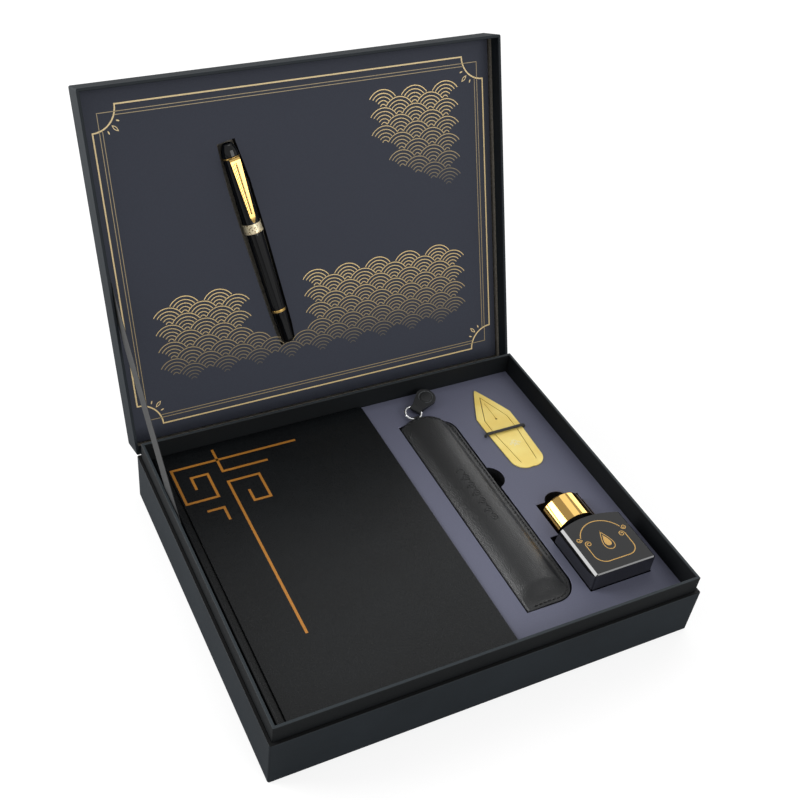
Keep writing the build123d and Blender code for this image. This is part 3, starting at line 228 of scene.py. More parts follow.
def leave():
    """Back in object mode."""
    bpy.ops.object.mode_set(mode="OBJECT")


def face_out():
    """Turns the edited piece's faces outwards and leaves edit mode."""
    bpy.ops.mesh.select_all(action="SELECT")
    bpy.ops.mesh.normals_make_consistent(inside=False)
    leave()


def extrude(way):
    """Extrudes what is selected in edit mode."""
    bpy.ops.mesh.extrude_region_move(TRANSFORM_OT_translate={"value": way})


def select_where(piece, kind, test):
    """In edit mode, selects the verts or edges that pass the test."""
    bpy.ops.mesh.select_mode(type={"verts": "VERT", "edges": "EDGE"}[kind])
    mesh = bmesh.from_edit_mesh(piece.data)
    for item in getattr(mesh, kind):
        item.select_set(test(item))
    if kind == "verts":
        mesh.select_flush(True)
    bmesh.update_edit_mesh(piece.data)


def join(name, pieces):
    """Joins pieces into one and names it."""
    deselect()
    for piece in pieces:
        piece.select_set(True)
    bpy.context.view_layer.objects.active = pieces[0]
    if len(pieces) > 1:
        bpy.ops.object.join()
    return new_piece(name)


def smooth(piece, angle):
    """Smooth shading, with edges sharper than the angle kept."""
    activate(piece)
    bpy.ops.object.shade_smooth_by_angle(angle=radians(angle))
    return piece


def twin_of(name, mesh):
    """A new piece with a copy of a mesh."""
    piece = bpy.data.objects.new(name, mesh.copy())
    bpy.context.scene.collection.objects.link(piece)
    return piece


def give(piece, material, body, slot, *nodes):
    """Gives a piece its material and body, and hides the nodes that it stands for. Its slot is not used."""
    piece.data.materials.clear()
    piece.data.materials.append(material)
    if nodes:
        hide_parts(*nodes)
    if body:
        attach(piece, body)
    return piece


def remodel(name, node, material, body, slot, width, segments=2, angle=30):
    """A node's merged copy with its sharp edges rounded by width, in metres, stands for it."""
    piece = twin_of(name, NODES[node].data)
    edit(piece)
    bpy.ops.mesh.remove_doubles(threshold=MERGE)
    bpy.ops.mesh.dissolve_limited(angle_limit=radians(0.4))
    leave()
    modify(piece, "BEVEL", width=width, segments=segments, limit_method="ANGLE", angle_limit=radians(angle))
    smooth(piece, 40)
    # The broad faces keep their own normals, so that only the rounded edges turn the light
    modify(piece, "WEIGHTED_NORMAL", keep_sharp=True)
    return give(piece, material, body, slot, node)


def paint(material, *nodes):
    """Gives CAD nodes a material."""
    for name in nodes:
        for slot in NODES[name].material_slots:
            slot.material = material


def poly_line(name, points, closed=False):
    """A curve with straight runs through points."""
    deselect()
    bpy.ops.curve.primitive_nurbs_path_add()
    path = new_piece(name)
    path.data.splines.clear()
    spline = path.data.splines.new("POLY")
    spline.points.add(len(points) - 1)
    for place, point in zip(spline.points, points):
        place.co = (*point, 1)
    spline.use_cyclic_u = closed
    return path


def as_mesh(path):
    """A curve turned into a mesh."""
    activate(path)
    bpy.ops.object.convert(target="MESH")
    return new_piece(path.name)


def raised_line(name, points, width, height, closed=False):
    """A mitred line of foil or ink along flat points, standing height above z = 0."""
    line = as_mesh(poly_line(name, [(x, y, 0) for x, y in points], closed))
    edit(line)
    extrude((0, 0, height))
    bpy.ops.mesh.normals_make_consistent(inside=False)
    leave()
    return modify(line, "SOLIDIFY", thickness=width, offset=0, use_even_offset=True)


def draped_line(name, surface, points, radius, onto=Matrix()):
    """A fine round line through flat points of a frame, laid on a surface from above and half sunk in."""
    down = onto.to_3x3() @ DOWN
    laid = [surface.ray_cast(onto @ Vector((x, y, ABOVE)), down) for x, y in points]
    path = poly_line(name, [hit[1] for hit in laid if hit[0]])
    path.data.bevel_depth = radius
    path.data.bevel_resolution = 2
    path.data.use_fill_caps = True
    return as_mesh(path)


def filled_shape(name, points, height):
    """A flat shape of foil or ink with the given outline, standing height above z = 0."""
    shape = primitive(name, "circle", vertices=len(points), radius=1, fill_type="NGON")
    for vertex, point in zip(shape.data.vertices, points):
        vertex.co = (point[0], point[1], 0)
    edit(shape)
    extrude((0, 0, height))
    face_out()
    return shape


def raised(height):
    """The matrix that lifts by a height."""
    return Matrix.Translation((0, 0, height))


def printed(name, pieces, place, material, body, slot):
    """Print pieces joined, laid at a place and given their finish."""
    layer = join(name, pieces)
    layer.data.transform(place)
    return give(layer, material, body, slot)


def copies(name, model, matrices):
    """Copies of a model mesh, one for each matrix, joined. The model goes."""
    made = []
    for matrix in matrices:
        made.append(twin_of(name, model.data))
        made[-1].data.transform(matrix)
    bpy.data.objects.remove(model)
    return join(name, made)


def sew(name, surface, path, stitch_length, thread, body, material, slot):
    """Stitches along a path of flat points, laid on the surface from above."""
    ball = primitive(name, "uv_sphere", segments=8, ring_count=6, radius=1)
    stitch = set_down(ball, (stitch_length / 2, thread / 2, thread / 2))
    smooth(stitch, 180)
    places = []
    for a, b in zip(path, path[1:]):
        way = Vector((b[0] - a[0], b[1] - a[1], 0))
        middle = (Vector((a[0], a[1], 0)) + Vector((b[0], b[1], 0))) / 2
        hit, point, normal, _ = surface.ray_cast(Vector((middle.x, middle.y, ABOVE)), DOWN)
        if not hit:
            continue
        across = normal.cross(way).normalized()
        along = across.cross(normal).normalized()
        turn = Matrix((along, across, normal)).transposed().to_4x4()
        places.append(Matrix.Translation(point + normal * thread * 0.25) @ turn)
    return give(copies(name, stitch, places), material, body, slot)


# ---------------------------------------------------------------- materials


def add_node(tree, kind, inputs=None, **settings):
    """Adds a shader node with its settings, and links or sets its inputs."""
    made = tree.nodes.new("ShaderNode" + kind)
    for name, value in settings.items():
        setattr(made, name, value)
    for key, value in (inputs or {}).items():
        if isinstance(value, bpy.types.NodeSocket):
            tree.links.new(value, made.inputs[key])
        else:
            made.inputs[key].default_value = value
    return made


def add_math(tree, operation, a, b):
    """The result of a sum on two values."""
    return add_node(tree, "Math", {0: a, 1: b}, operation=operation).outputs[0]


def per_mm(size):
    """A pattern's scale, so that it repeats about every size millimetres."""
    return 1 / (size * MM)


class Finish:
    """A material in the making: plain values on the shader's own sockets, until a pattern drives them."""

    def __init__(self, name, colour, roughness, metallic=0.0, **sockets):
        self.made = bpy.data.materials.new(name)
        self.made.use_nodes = True
        self.tree = self.made.node_tree
        self.shader = self.tree.nodes["Principled BSDF"]
        plain = {"Base Color": colour, "Roughness": roughness, "Metallic": metallic}
        for key, value in sockets.items():
            plain[key.replace("_", " ").title().replace("Ior", "IOR")] = value
        for key, value in plain.items():
            self.shader.inputs[key].default_value = value

    def node(self, kind, inputs=None, **settings):
        return add_node(self.tree, kind, inputs, **settings)

    def link(self, output, socket):
        self.tree.links.new(output, self.shader.inputs[socket])

    def place(self, kind="Object"):
        """Coordinates of the piece itself, which slide with nothing."""
        return self.node("TexCoord").outputs[kind]

    def height(self, kind):
        """The upward part of coordinates."""
        return self.node("SeparateXYZ", {"Vector": self.place(kind)}).outputs["Z"]

    def noise(self, size_mm, detail=2, roughness=0.5, output="Fac"):
        """Cloudy noise with blotches of about size_mm."""
        return self.node("TexNoise", {"Vector": self.place(), "Scale": per_mm(size_mm), "Detail": detail,
                                      "Roughness": roughness}).outputs[output]

    def vary(self, factor, dark, light, start=0.3, end=0.7):
        """The colour goes from dark to light as the factor goes from start to end."""
        ramp = self.node("ValToRGB", {"Fac": factor})
        for stop, colour, position in zip(ramp.color_ramp.elements, (dark, light), (start, end)):
            stop.color = colour
            stop.position = position
        self.link(ramp.outputs["Color"], "Base Color")
        return ramp.outputs["Color"]

    def roughen(self, factor, low, high):
        """The roughness goes from low to high by the factor."""
        spread = self.node("MapRange", {"Value": factor, "To Min": low, "To Max": high})
        self.link(spread.outputs["Result"], "Roughness")

    def bump(self, height, depth_mm, strength=1.0, under=None):
        """Bumps depth_mm deep from a height, over any bumps under them."""
        inputs = {"Height": height, "Distance": depth_mm * MM, "Strength": strength}
        if under:
            inputs["Normal"] = under
        normal = self.node("Bump", inputs).outputs["Normal"]
        self.link(normal, "Normal")
        return normal

    def part_by_slope(self, face, other, limit, test):
        """Gives another colour to what is steeper, or flatter, than the limit, by the normal's height."""
        chosen = add_math(self.tree, test, self.height("Normal"), limit)
        mixed = self.node("Mix", {"Factor": chosen, "A": face, "B": other}, data_type="RGBA")
        self.link(mixed.outputs["Result"], "Base Color")


def wrapping_paper(name, colour, top_painted_light=None):
    """Uncoated dyed paper: matt, with a soft fibre tooth, and with painted light where it looks straight up:
    painted shade when the colour given is darker, a painted highlight when it is paler.
    """
    paper = Finish(name, colour, 0.62, specular_ior_level=0.25)
    fibre = paper.noise(0.7, 6, 0.65)
    mixed = add_math(paper.tree, "MULTIPLY", fibre, paper.noise(38, 3))
    doubled = add_math(paper.tree, "MULTIPLY", mixed, 2.0)
    face = paper.vary(doubled, shade(colour, 0.86), shade(colour, 1.12))
    paper.roughen(fibre, 0.5, 0.72)
    paper.bump(fibre, 0.05, 0.5)
    # Upward faces take the painted light colour: darker for painted shade, paler for a painted highlight
    if top_painted_light:
        paper.part_by_slope(face, top_painted_light, 0.8, "GREATER_THAN")
    return paper.made


def faced_card(name, colour, edge=None, gloss=0.4):
    """Card faced with matt paper and die-cut, whose cut edges can show a paler core as a thin line."""
    card = Finish(name, colour, 0.62, specular_ior_level=gloss)
    fibre = card.noise(0.9, 5, 0.6)
    face = card.vary(fibre, shade(colour, 0.94), shade(colour, 1.06))
    card.bump(fibre, 0.04, 0.4)
    if edge:
        card.part_by_slope(face, edge, 0.5, "LESS_THAN")
    return card.made


def patterned(name, colour, roughness, pattern, metallic=0.0, shades=None, spread=None, relief=None,
              **sockets):
    """A finish whose colour, roughness and bumps can all follow one noise, given by its size and detail."""
    finish = Finish(name, colour, roughness, metallic, **sockets)
    factor = finish.noise(*pattern)
    if shades:
        finish.vary(factor, *shades)
    if spread:
        finish.roughen(factor, *spread)
    if relief:
        finish.bump(factor, *relief)
    return finish.made


def grey_board():
    """Recycled board: dull grey with flecks of old print."""
    shades = linear("6f6a62"), linear("a09a8e")
    return patterned("grey_board", linear("8b857b"), 0.9, (1.2, 8), shades=shades, relief=(0.1, 0.5))


def cell_foam():
    """Closed-cell foam, cut: dead black with pinhole cells."""
    foam = Finish("closed_cell_foam", linear("101114"), 0.92, specular_ior_level=0.25)
    cells = foam.node("TexVoronoi", {"Vector": foam.place(), "Scale": per_mm(0.9)}).outputs["Distance"]
    foam.vary(cells, linear("08090b"), linear("17181c"))
    foam.bump(cells, 0.2, 0.6)
    return foam.made


def bands(finish, place, size_mm, direction, **more):
    """Waves that repeat every size_mm in a direction."""
    # A wave texture's own scale is 20 times finer than one band to a unit
    inputs = {"Vector": place, "Scale": per_mm(size_mm) / 20, **more}
    return finish.node("TexWave", inputs, bands_direction=direction).outputs["Fac"]


def woven(name, colour, thread_mm, sheen, uv=False, roughness=0.6):
    """Plain-woven cloth: warp and weft over and under each other."""
    cloth = Finish(name, colour, roughness, sheen_weight=sheen)
    place = cloth.place("UV" if uv else "Object")
    waves = [bands(cloth, place, thread_mm, direction) for direction in (("X", "Y") if uv else ("X", "Z"))]
    cross = add_math(cloth.tree, "MULTIPLY", *waves)
    cloth.vary(cross, shade(colour, 0.7), shade(colour, 1.35))
    cloth.bump(cross, 0.12, 0.6)
    return cloth.made


def grained_leather(name, colour, grain_mm, depth_mm, low, high, gloss=0.5):
    """Leather or leatherette: pebbles parted by fine creases, glossier on the pebbles' tops."""
    hide = Finish(name, colour, low, specular_ior_level=gloss)
    drift = hide.noise(grain_mm * 2.2, 3, output="Color")
    bent = hide.node("VectorMath", {0: drift, 3: grain_mm * MM * 0.9}, operation="SCALE")
    shifted = hide.node("VectorMath", {0: hide.place(), 1: bent.outputs[0]}, operation="ADD")
    pebble = hide.node("TexVoronoi", {"Vector": shifted.outputs[0], "Scale": per_mm(grain_mm)},
                       feature="DISTANCE_TO_EDGE")
    crown = hide.node("MapRange", {"Value": pebble.outputs["Distance"], "From Max": 0.32}).outputs["Result"]
    cloud = hide.noise(26, 4)
    hide.vary(cloud, shade(colour, 0.8), shade(colour, 1.25))
    hide.roughen(crown, high, low)
    hide.bump(crown, depth_mm, 0.7, hide.bump(cloud, 0.3, 0.5))
    return hide.made


def plated(name, colour, roughness):
    """Polished plate over metal: a coloured mirror with the faint haze that wiping leaves."""
    return patterned(name, colour, roughness, (7, 4), 1.0, spread=(roughness * 0.8, roughness * 1.3))


def engraved_plate():
    """Engraved gold plate: fine crossed hatching that breaks up the mirror."""
    plate = Finish("engraved_gold_plate", linear("f1dca8"), 0.34, 0.6)
    hatch = plate.node("TexVoronoi", {"Vector": plate.place(), "Scale": per_mm(1.2)}, distance="MANHATTAN")
    plate.vary(hatch.outputs["Distance"], linear("7d6234"), linear("fff1cc"))
    plate.bump(hatch.outputs["Distance"], 0.12, 0.5)
    return plate.made


def satin_brass():
    """Etched brass under matt lacquer: pale yellow, fine-grained, bright from every side."""
    brass = Finish("satin_lacquered_brass", linear("f8e694"), 0.42, 0.2)
    grain = brass.noise(0.35, 3)
    brass.vary(brass.noise(18), linear("eed06c"), linear("f8e388"))
    brass.roughen(grain, 0.36, 0.5)
    brass.bump(grain, 0.006, 0.4)
    return brass.made


def fading_foil(name, bright, dim, low, high):
    """Gold ink: bright at the height high and sunk into the card at low."""
    foil = Finish(name, bright, 0.42, 0.1)
    fade = foil.node("MapRange", {"Value": foil.height("Object"), "From Min": low, "From Max": high})
    foil.vary(fade.outputs["Result"], dim, bright, 0.0, 1.0)
    return foil.made


def hot_foil(name, colour, metallic=0.25):
    """Stamped foil or gold ink, broken a little by the grain under it."""
    shades = shade(colour, 0.78), colour
    return patterned(name, colour, 0.38, (0.5, 4), metallic, shades, relief=(0.05, 0.6))


def book_pages():
    """The trimmed edge of a sewn block: fine lines of sheets, drawn coarser than real to show."""
    block = Finish("trimmed_book_paper", linear("e9e0c8"), 0.85)
    sheets = bands(block, block.place(), 0.4, "Z", **{"Distortion": 1.2, "Detail": 2, "Detail Scale": 2.0})
    block.vary(sheets, linear("c9bea2"), linear("f3ecd8"))
    block.bump(sheets, 0.08, 0.6)
    return block.made


def inked_glass():
    """Fire-polished pressed glass with black ink behind all of it: dark, with a faint haze."""
    coat = {"coat_weight": 1.0, "coat_roughness": 0.03}
    return patterned("pressed_glass", linear("08090b"), 0.04, (12, 2), spread=(0.03, 0.08), ior=1.5, **coat)


def black_ink():
    """Ink behind wetted glass: matt, because the glass gives all the reflection."""
    shades = linear("040405"), linear("0b0d0f")
    return patterned("carbon_ink", linear("060708"), 1.0, (20, 2), shades=shades, specular_ior_level=0.0)


def lacquer():
    """Polished black lacquer over resin: a deep clear gloss with sharp reflections."""
    coat = {"specular_ior_level": 0.0, "coat_weight": 0.9, "coat_roughness": 0.05}
    return patterned("polished_lacquer", linear("050608"), 0.12, (9, 3), spread=(0.09, 0.16), **coat)


def moulded(name, colour, roughness=0.4):
    """Moulded plastic with a faint satin skin."""
    spread = roughness * 0.85, roughness * 1.15
    return patterned(name, colour, roughness, (0.6, 3), spread=spread, relief=(0.01, 0.4))


# ---------------------------------------------------------------- settings


def length(name, description, default):
    """A length that can be set, in metres."""
    return FloatProperty(name=name, description=description, unit="LENGTH", default=default)


def power(name, place, default):
    """A softbox's power that can be set, in watts."""
    description = "Power of the softbox " + place
    return FloatProperty(name=name, description=description, unit="POWER", default=default)


class StageSettings(bpy.types.PropertyGroup):
    """Camera, floor and light."""

    camera_place: FloatVectorProperty(
        name="Camera place", description="Where the camera stands", subtype="TRANSLATION", unit="LENGTH",
        default=(-0.27316, -0.40962, 0.56049))
    camera_aim: FloatVectorProperty(
        name="Camera aim", description="The point of the floor on the camera's axis", subtype="TRANSLATION",
        unit="LENGTH", default=(0.02888, 0.12995, 0.0))
    camera_roll: FloatProperty(
        name="Camera roll", description="Turn of the camera about its axis", subtype="ANGLE",
        default=radians(6.194))
    focal_share: FloatProperty(
        name="Focal share", description="Focal length as a share of the picture's width", default=1.43351)
    shift: FloatVectorProperty(
        name="Shift", description="Lens shift as a share of the picture's width", size=2,
        default=(0.0512, 0.0257))
    back_power: power("Back power", "above and behind", 3.4)
    left_power: power("Left power", "on the left", 27.0)
    right_power: power("Right power", "on the right", 6.0)
    front_power: power("Front power", "above the camera", 12.0)
    room_light: FloatProperty(name="Room light", description="Strength of the room's own light", default=0.52)
    mirror_share: FloatProperty(
        name="Mirror share", description="How much of the white surroundings a gloss or a metal shows",
        default=0.03)


class PrintSettings(bpy.types.PropertyGroup):
    """Gold print on the lid's lining and foil on the notebook and the bottle."""

    frame_margin: length("Frame margin", "Lining's edge to the gold frame", 4.6 * MM)
    frame_line: length("Frame line", "Width of the gold frame", 0.9 * MM)
    thin_line: length("Thin line", "Width of the lines inside it", 0.45 * MM)
    corner_radius: length("Corner radius", "Radius of the frame's hollow corners", 15.4 * MM)
    scale_radius: length("Scale radius", "Radius of one wave scale", 11.5 * MM)
    scale_rings: IntProperty(
        name="Scale rings", description="Lines in one wave scale", default=5, min=1, max=9)
    foil_width: length("Foil width", "Width of the cover's foil lines", 1.7 * MM)
    relief: length("Relief", "Height of print above its card", 0.03 * MM)


class StitchSettings(bpy.types.PropertyGroup):
    """Sewing thread on the leather."""

    pitch: length("Pitch", "From one stitch to the next", 3.1 * MM)
    stitch_length: length("Stitch length", "Length of a stitch", 2.5 * MM)
    thread: length("Thread", "Diameter of the thread", 0.8 * MM)
    edge: length("Edge", "From the seam to the leather's edge", 2.1 * MM)


# ---------------------------------------------------------------- operators


class SETBOX_OT_stage(bpy.types.Operator):
    """Sets the camera, the pale floor and soft studio light"""

    bl_idname = "setbox.stage"
    bl_label = "Stage"

    def execute(self, context):
        settings = context.scene.setbox_stage
        self.floor(settings)
        self.world(context.scene, settings)
        self.lamps(settings)
        self.camera(context.scene, settings)
        context.scene.view_settings.view_transform = "Standard"
        return {"FINISHED"}

    def floor(self, settings):
        """A floor that shows soft shadows and gives off the rest of its white by itself."""
        grey, glow, side = 0.32, 0.74, 12
        floor = primitive("floor", "plane", size=side)
        finish = Finish("pale_floor", (grey, grey, grey, 1), 0.9, specular_ior_level=0.0)
        lit = add_math(finish.tree, "MULTIPLY", self.seen(finish.tree, settings), glow)
        given = finish.node("Emission", {"Strength": lit})
        both = finish.node("AddShader", {0: finish.shader.outputs[0], 1: given.outputs[0]})
        finish.tree.links.new(both.outputs[0], finish.tree.nodes["Material Output"].inputs["Surface"])
        floor.data.materials.append(finish.made)

    def world(self, scene, settings):
        """White for the camera and dimmer for everything else."""
        scene.world = bpy.data.worlds.new("studio")
        scene.world.use_nodes = True
        tree = scene.world.node_tree
        seen = self.seen(tree, settings)
        strength = add_node(tree, "MapRange", {"Value": seen, "To Min": settings.room_light})
        tree.links.new(strength.outputs["Result"], tree.nodes["Background"].inputs["Strength"])
        tree.nodes["Background"].inputs["Color"].default_value = (1, 1, 1, 1)

    def lamps(self, settings):
        """Four softboxes, each with its place, its power and its width and height in metres."""
        aim = Vector((0, 0.02, 0.05))
        for name, place, watts, width, height in (
            ("back_softbox", (0.62, 1.05, 1.5), settings.back_power, 0.8, 1.3),
            ("left_softbox", (-1.25, 0.8, 0.6), settings.left_power, 1.0, 1.2),
            ("right_softbox", (1.6, 1.0, 0.75), settings.right_power, 0.9, 0.9),
            ("front_softbox", (0.5, -1.25, 0.8), settings.front_power, 1.3, 1.1),
        ):
            deselect()
            bpy.ops.object.light_add(type="AREA", location=place)
            lamp = bpy.context.view_layer.objects.active
            lamp.name = name
            lamp.data.energy = watts
            lamp.data.shape = "RECTANGLE"
            lamp.data.size, lamp.data.size_y = width, height
            lamp.rotation_euler = (aim - Vector(place)).to_track_quat("-Z", "Y").to_euler()

    def camera(self, scene, settings):
        """The camera, looking from its place at its aim."""
        sensor = 36  # millimetres
        deselect()
        bpy.ops.object.camera_add(location=settings.camera_place)
        camera = bpy.context.view_layer.objects.active
        camera.name = "camera"
        view = Vector(settings.camera_aim) - Vector(settings.camera_place)
        turn = view.to_track_quat("-Z", "Y").to_matrix() @ Matrix.Rotation(settings.camera_roll, 3, "Z")
        camera.rotation_euler = turn.to_euler()
        camera.data.sensor_width = sensor
        camera.data.lens = sensor * settings.focal_share
        camera.data.shift_x, camera.data.shift_y = settings.shift
        camera.data.clip_start = 0.01
        scene.camera = camera

    @staticmethod
    def seen(tree, settings):
        """1 for what the camera sees, straight or through glass, and a share of it for what a gloss shows."""
        path = add_node(tree, "LightPath").outputs
        mirrored = add_math(tree, "MULTIPLY", path["Is Glossy Ray"], settings.mirror_share)
        through = add_math(tree, "MAXIMUM", mirrored, path["Is Transmission Ray"])
        return add_math(tree, "MAXIMUM", through, path["Is Camera Ray"])


class SETBOX_OT_paper(bpy.types.Operator):
    """Finishes the paper wraps, the neck and the board under them"""

    bl_idname = "setbox.paper"
    bl_label = "Paper and board"

    def execute(self, context):
        wrap = linear("1d2328")
        paint(wrapping_paper("uncoated_black_paper", wrap), "base_sheet", "lid_wrap")
        # The lid's wall stands on the base's top edge; the base paper's upward faces are painted near black,
        # painted shade of the dark gap beside the neck
        paint(wrapping_paper("uncoated_black_base_paper", wrap, linear("040506")), "base_wrap")
        # The neck paper's upward faces are painted paler: a painted highlight along its rim
        paint(wrapping_paper("uncoated_black_neck_paper", linear("0e1113"), linear("2a3034")), "neck")
        paint(grey_board(), "base_tray", "lid_tray")
        return {"FINISHED"}


class SETBOX_OT_insert(bpy.types.Operator):
    """Finishes the foam, its card and the bookmark's elastic"""

    bl_idname = "setbox.insert"
    bl_label = "Insert"

    def execute(self, context):
        paint(cell_foam(), "insert_foam", "book_riser", "lid_foam")
        paint(faced_card("faced_card_lavender_grey", linear("5e6072"), linear("8d8ea6")), "insert_card")
        paint(woven("braided_elastic", linear("141416"), 0.5, 0.2), "bookmark_elastic")
        return {"FINISHED"}


class SETBOX_OT_lining(bpy.types.Operator):
    """Finishes the lid's lining card and prints it in gold"""

    bl_idname = "setbox.lining"
    bl_label = "Lining print"

    def execute(self, context):
        settings = context.scene.setbox_print
        paint(faced_card("faced_card_slate", linear("3c3f49"), gloss=0.12), "lid_lining")
        low, high = lid_box("lid_lining")
        self.left, self.right = low.x + settings.frame_margin, high.x - settings.frame_margin
        self.front, self.back = low.y + 2 * settings.frame_margin, high.y - 2 * settings.frame_margin
        self.onto = LINING @ Matrix.Translation((0, 0, -low.z))
        gold = hot_foil("gold_print", linear("f4d89c"), 0.0)
        dim = hot_foil("gold_print_fine", linear("a8946a"), 0.0)
        self.lay("lining_frame", self.frame_lines(settings), gold)
        self.lay("lining_fine_lines", self.fine_lines(settings), dim)
        self.lay("lining_petals", self.petals(settings), gold)
        self.waves(settings)
        return {"FINISHED"}

    def lay(self, name, pieces, material):
        """Lays print pieces on the lining, with the faces that its mirroring turned inwards put right."""
        edit(printed(name, pieces, self.onto, material, "lid", "lining_card"))
        bpy.ops.mesh.flip_normals()
        leave()

    def corners(self):
        """The frame's corners with the direction of the first arc's start, anticlockwise."""
        return (
            ((self.right, self.front), 180), ((self.right, self.back), 270),
            ((self.left, self.back), 360), ((self.left, self.front), 450),
        )

    def frame_lines(self, settings):
        """The frame: one closed line with hollow quarter-circle corners."""
        outline = []
        for corner, start in self.corners():
            outline += arc(corner, settings.corner_radius, start, start - 90, 10)
        return [raised_line("frame", outline, settings.frame_line, settings.relief, closed=True)]

    def fine_lines(self, settings):
        """A thin square-cornered line, and one that stops at the hollow corners."""
        width, relief = settings.thin_line, settings.relief
        inset = 4.2 * MM
        left, right = self.left + inset, self.right - inset
        front, back = self.front + inset, self.back - inset
        square = [(left, front), (right, front), (right, back), (left, back)]
        lines = [raised_line("square", square, width, relief, closed=True)]
        inset = 6.1 * MM
        stop = sqrt(settings.corner_radius**2 - inset**2)
        for y in (self.front + inset, self.back - inset):
            lines.append(raised_line("rule", [(self.left + stop, y), (self.right - stop, y)], width, relief))
        for x in (self.left + inset, self.right - inset):
            lines.append(raised_line("rule", [(x, self.front + stop), (x, self.back - stop)], width, relief))
        return lines

    def petals(self, settings):
        """Three petals inside each hollow corner, the middle one in outline."""
        near = settings.corner_radius + 2.0 * MM
        lean, steps = 0.42, 8
        shapes = ((-lean, 2.6, 0.9, True), (0.0, 4.6, 1.6, False), (lean, 2.6, 0.9, True))
        made = []
        for (x, y), start in self.corners():
            diagonal = radians(start - 45)
            for turn, reach, width, solid in shapes:
                way = diagonal + turn * 0.55
                root = Vector((x + near * cos(way), y + near * sin(way)))
                way = diagonal + turn
                along = Vector((cos(way), sin(way))) * reach * MM
                side = Vector((-sin(way), cos(way))) * width * MM / 2
                up = [root + along * i / steps + side * sin(pi * i / steps) for i in range(steps)]
                down = [root + along * (1 - i / steps) - side * sin(pi * i / steps) for i in range(steps)]
                if solid:
                    made.append(filled_shape("petal", up + down, settings.relief))
                else:
                    made.append(raised_line(
                        "petal", up + down, settings.thin_line, settings.relief, closed=True))
        return made

    def scale(self, settings):
        """One wave scale: rings cut off where the scales in front of it lie."""
        radius = settings.scale_radius
        line_width = settings.thin_line * 1.25
        ahead = ((radius, -radius / 2), (-radius, -radius / 2), (0, -radius))
        rings = []
        for ring in range(settings.scale_rings):
            r = radius * (1 - ring / settings.scale_rings) - 0.35 * MM
            shown = [p for p in arc((0, 0), r, 0, 180, 60)
                     if all((p[0] - a) ** 2 + (p[1] - b) ** 2 >= radius**2 for a, b in ahead)]
            if len(shown) > 2:
                # Every third point is enough, with the last one
                line = shown[::3] + ([shown[-1]] if (len(shown) - 1) % 3 else [])
                rings.append(raised_line("ring", line, line_width, settings.relief))
        return join("wave_scale", rings)

    def waves(self, settings):
        """A band of wave scales along the foot and a fan of them in the upper corner."""
        radius = settings.scale_radius
        pen_from, pen_to = [(sum(lid_box(node), Vector()) / 2).xy for node in ("pen_finial", "pen_tail")]
        pen_clearance = 9 * MM
        inner = 10.5 * MM  # from the frame to the waves
        first_row = self.back - inner - 3 * MM

        def clear_of_pen(x, y):
            run = pen_to - pen_from
            share = max(0, min(1, (Vector((x, y)) - pen_from).dot(run) / run.length_squared))
            return (Vector((x, y)) - pen_from - run * share).length > radius + pen_clearance

        def grid(rows, keep):
            places = []
            for row in range(rows):
                y = first_row - row * radius / 2
                shift = radius if row % 2 else 0
                count = int((self.right - self.left - 2 * inner) / (2 * radius)) + 2
                for column in range(-count, count + 1):
                    x = column * 2 * radius + shift
                    inside = self.left + inner + radius < x < self.right - inner - radius
                    if inside and keep(x, y, row) and clear_of_pen(x, y):
                        places.append((x, y))
            return places

        def in_fan(x, y, row):
            return (Vector((x, y)) - corner).length < fan_reach and y > self.front + inner + radius

        fan_reach = 78 * MM
        corner = Vector((self.right - inner, self.front + inner))
        rows = int((self.back - self.front - 2 * inner) / (radius / 2))
        foot, fan = grid(11, lambda x, y, row: row >= 2), grid(rows, in_fan)
        gold, sunk = linear("f0d190"), linear("4c473f")
        for name, places in (("lining_wave_band", foot), ("lining_wave_fan", fan)):
            unit = self.scale(settings)
            heights = [(LID @ Vector((x, y, 0))).z for x, y in places]
            # The scales open away from the hinge, which is the lining's upper side
            turned = [Matrix.Translation((x, y, 0)) @ Matrix.Rotation(pi, 4, "Z") for x, y in places]
            ink = fading_foil(name + "_ink", gold, sunk, min(heights) - 4 * MM, max(heights) + 8 * MM)
            self.lay(name, [copies(name, unit, turned)], ink)


class SETBOX_OT_hinge_cloth(bpy.types.Operator):
    """Models the cloth hinge down the back, folded at the lid's edge"""

    bl_idname = "setbox.hinge_cloth"
    bl_label = "Hinge cloth"

    def execute(self, context):
        low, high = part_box("hinge_cloth")
        leg, upper_leg = HINGE.z - low.z, lid_box("hinge_cloth")[1].z
        width, near = high.x - low.x, 0.01 * MM
        cloth = primitive("hinge_cloth_strip", "grid", x_subdivisions=48, y_subdivisions=4, size=1,
                          location=(0, HINGE.y + 0.02 * MM, HINGE.z - leg / 2), rotation=(pi / 2, 0, 0))
        set_down(cloth, (width, leg, 1))
        edit(cloth, "DESELECT")
        select_where(cloth, "verts", lambda v: v.co.z > HINGE.z - near)
        extrude((LID.to_3x3() @ Vector((0, 0, 1))) * upper_leg)
        leave()
        edit(cloth, "DESELECT")
        select_where(cloth, "edges", self.along_fold)
        bpy.ops.mesh.bevel(offset=0.5 * MM, segments=3)
        face_out()
        outward = sum((p.normal for p in cloth.data.polygons), Vector())
        modify(cloth, "SOLIDIFY", thickness=0.27 * MM, offset=1 if outward.y > 0 else -1)
        smooth(cloth, 50)
        weave = woven("bookbinding_cloth", linear("1d1f22"), 0.7, 0.2)
        give(cloth, weave, None, "hinge_cloth", "hinge_cloth")
        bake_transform(cloth)
        return {"FINISHED"}

    @staticmethod
    def along_fold(edge):
        """True for an edge on the fold, at the hinge."""
        a, b = (vertex.co for vertex in edge.verts)
        middle = (a + b) / 2 - HINGE
        return abs(middle.z) < 0.01 * MM and abs(middle.y) < 0.1 * MM and abs(a.x - b.x) > MM


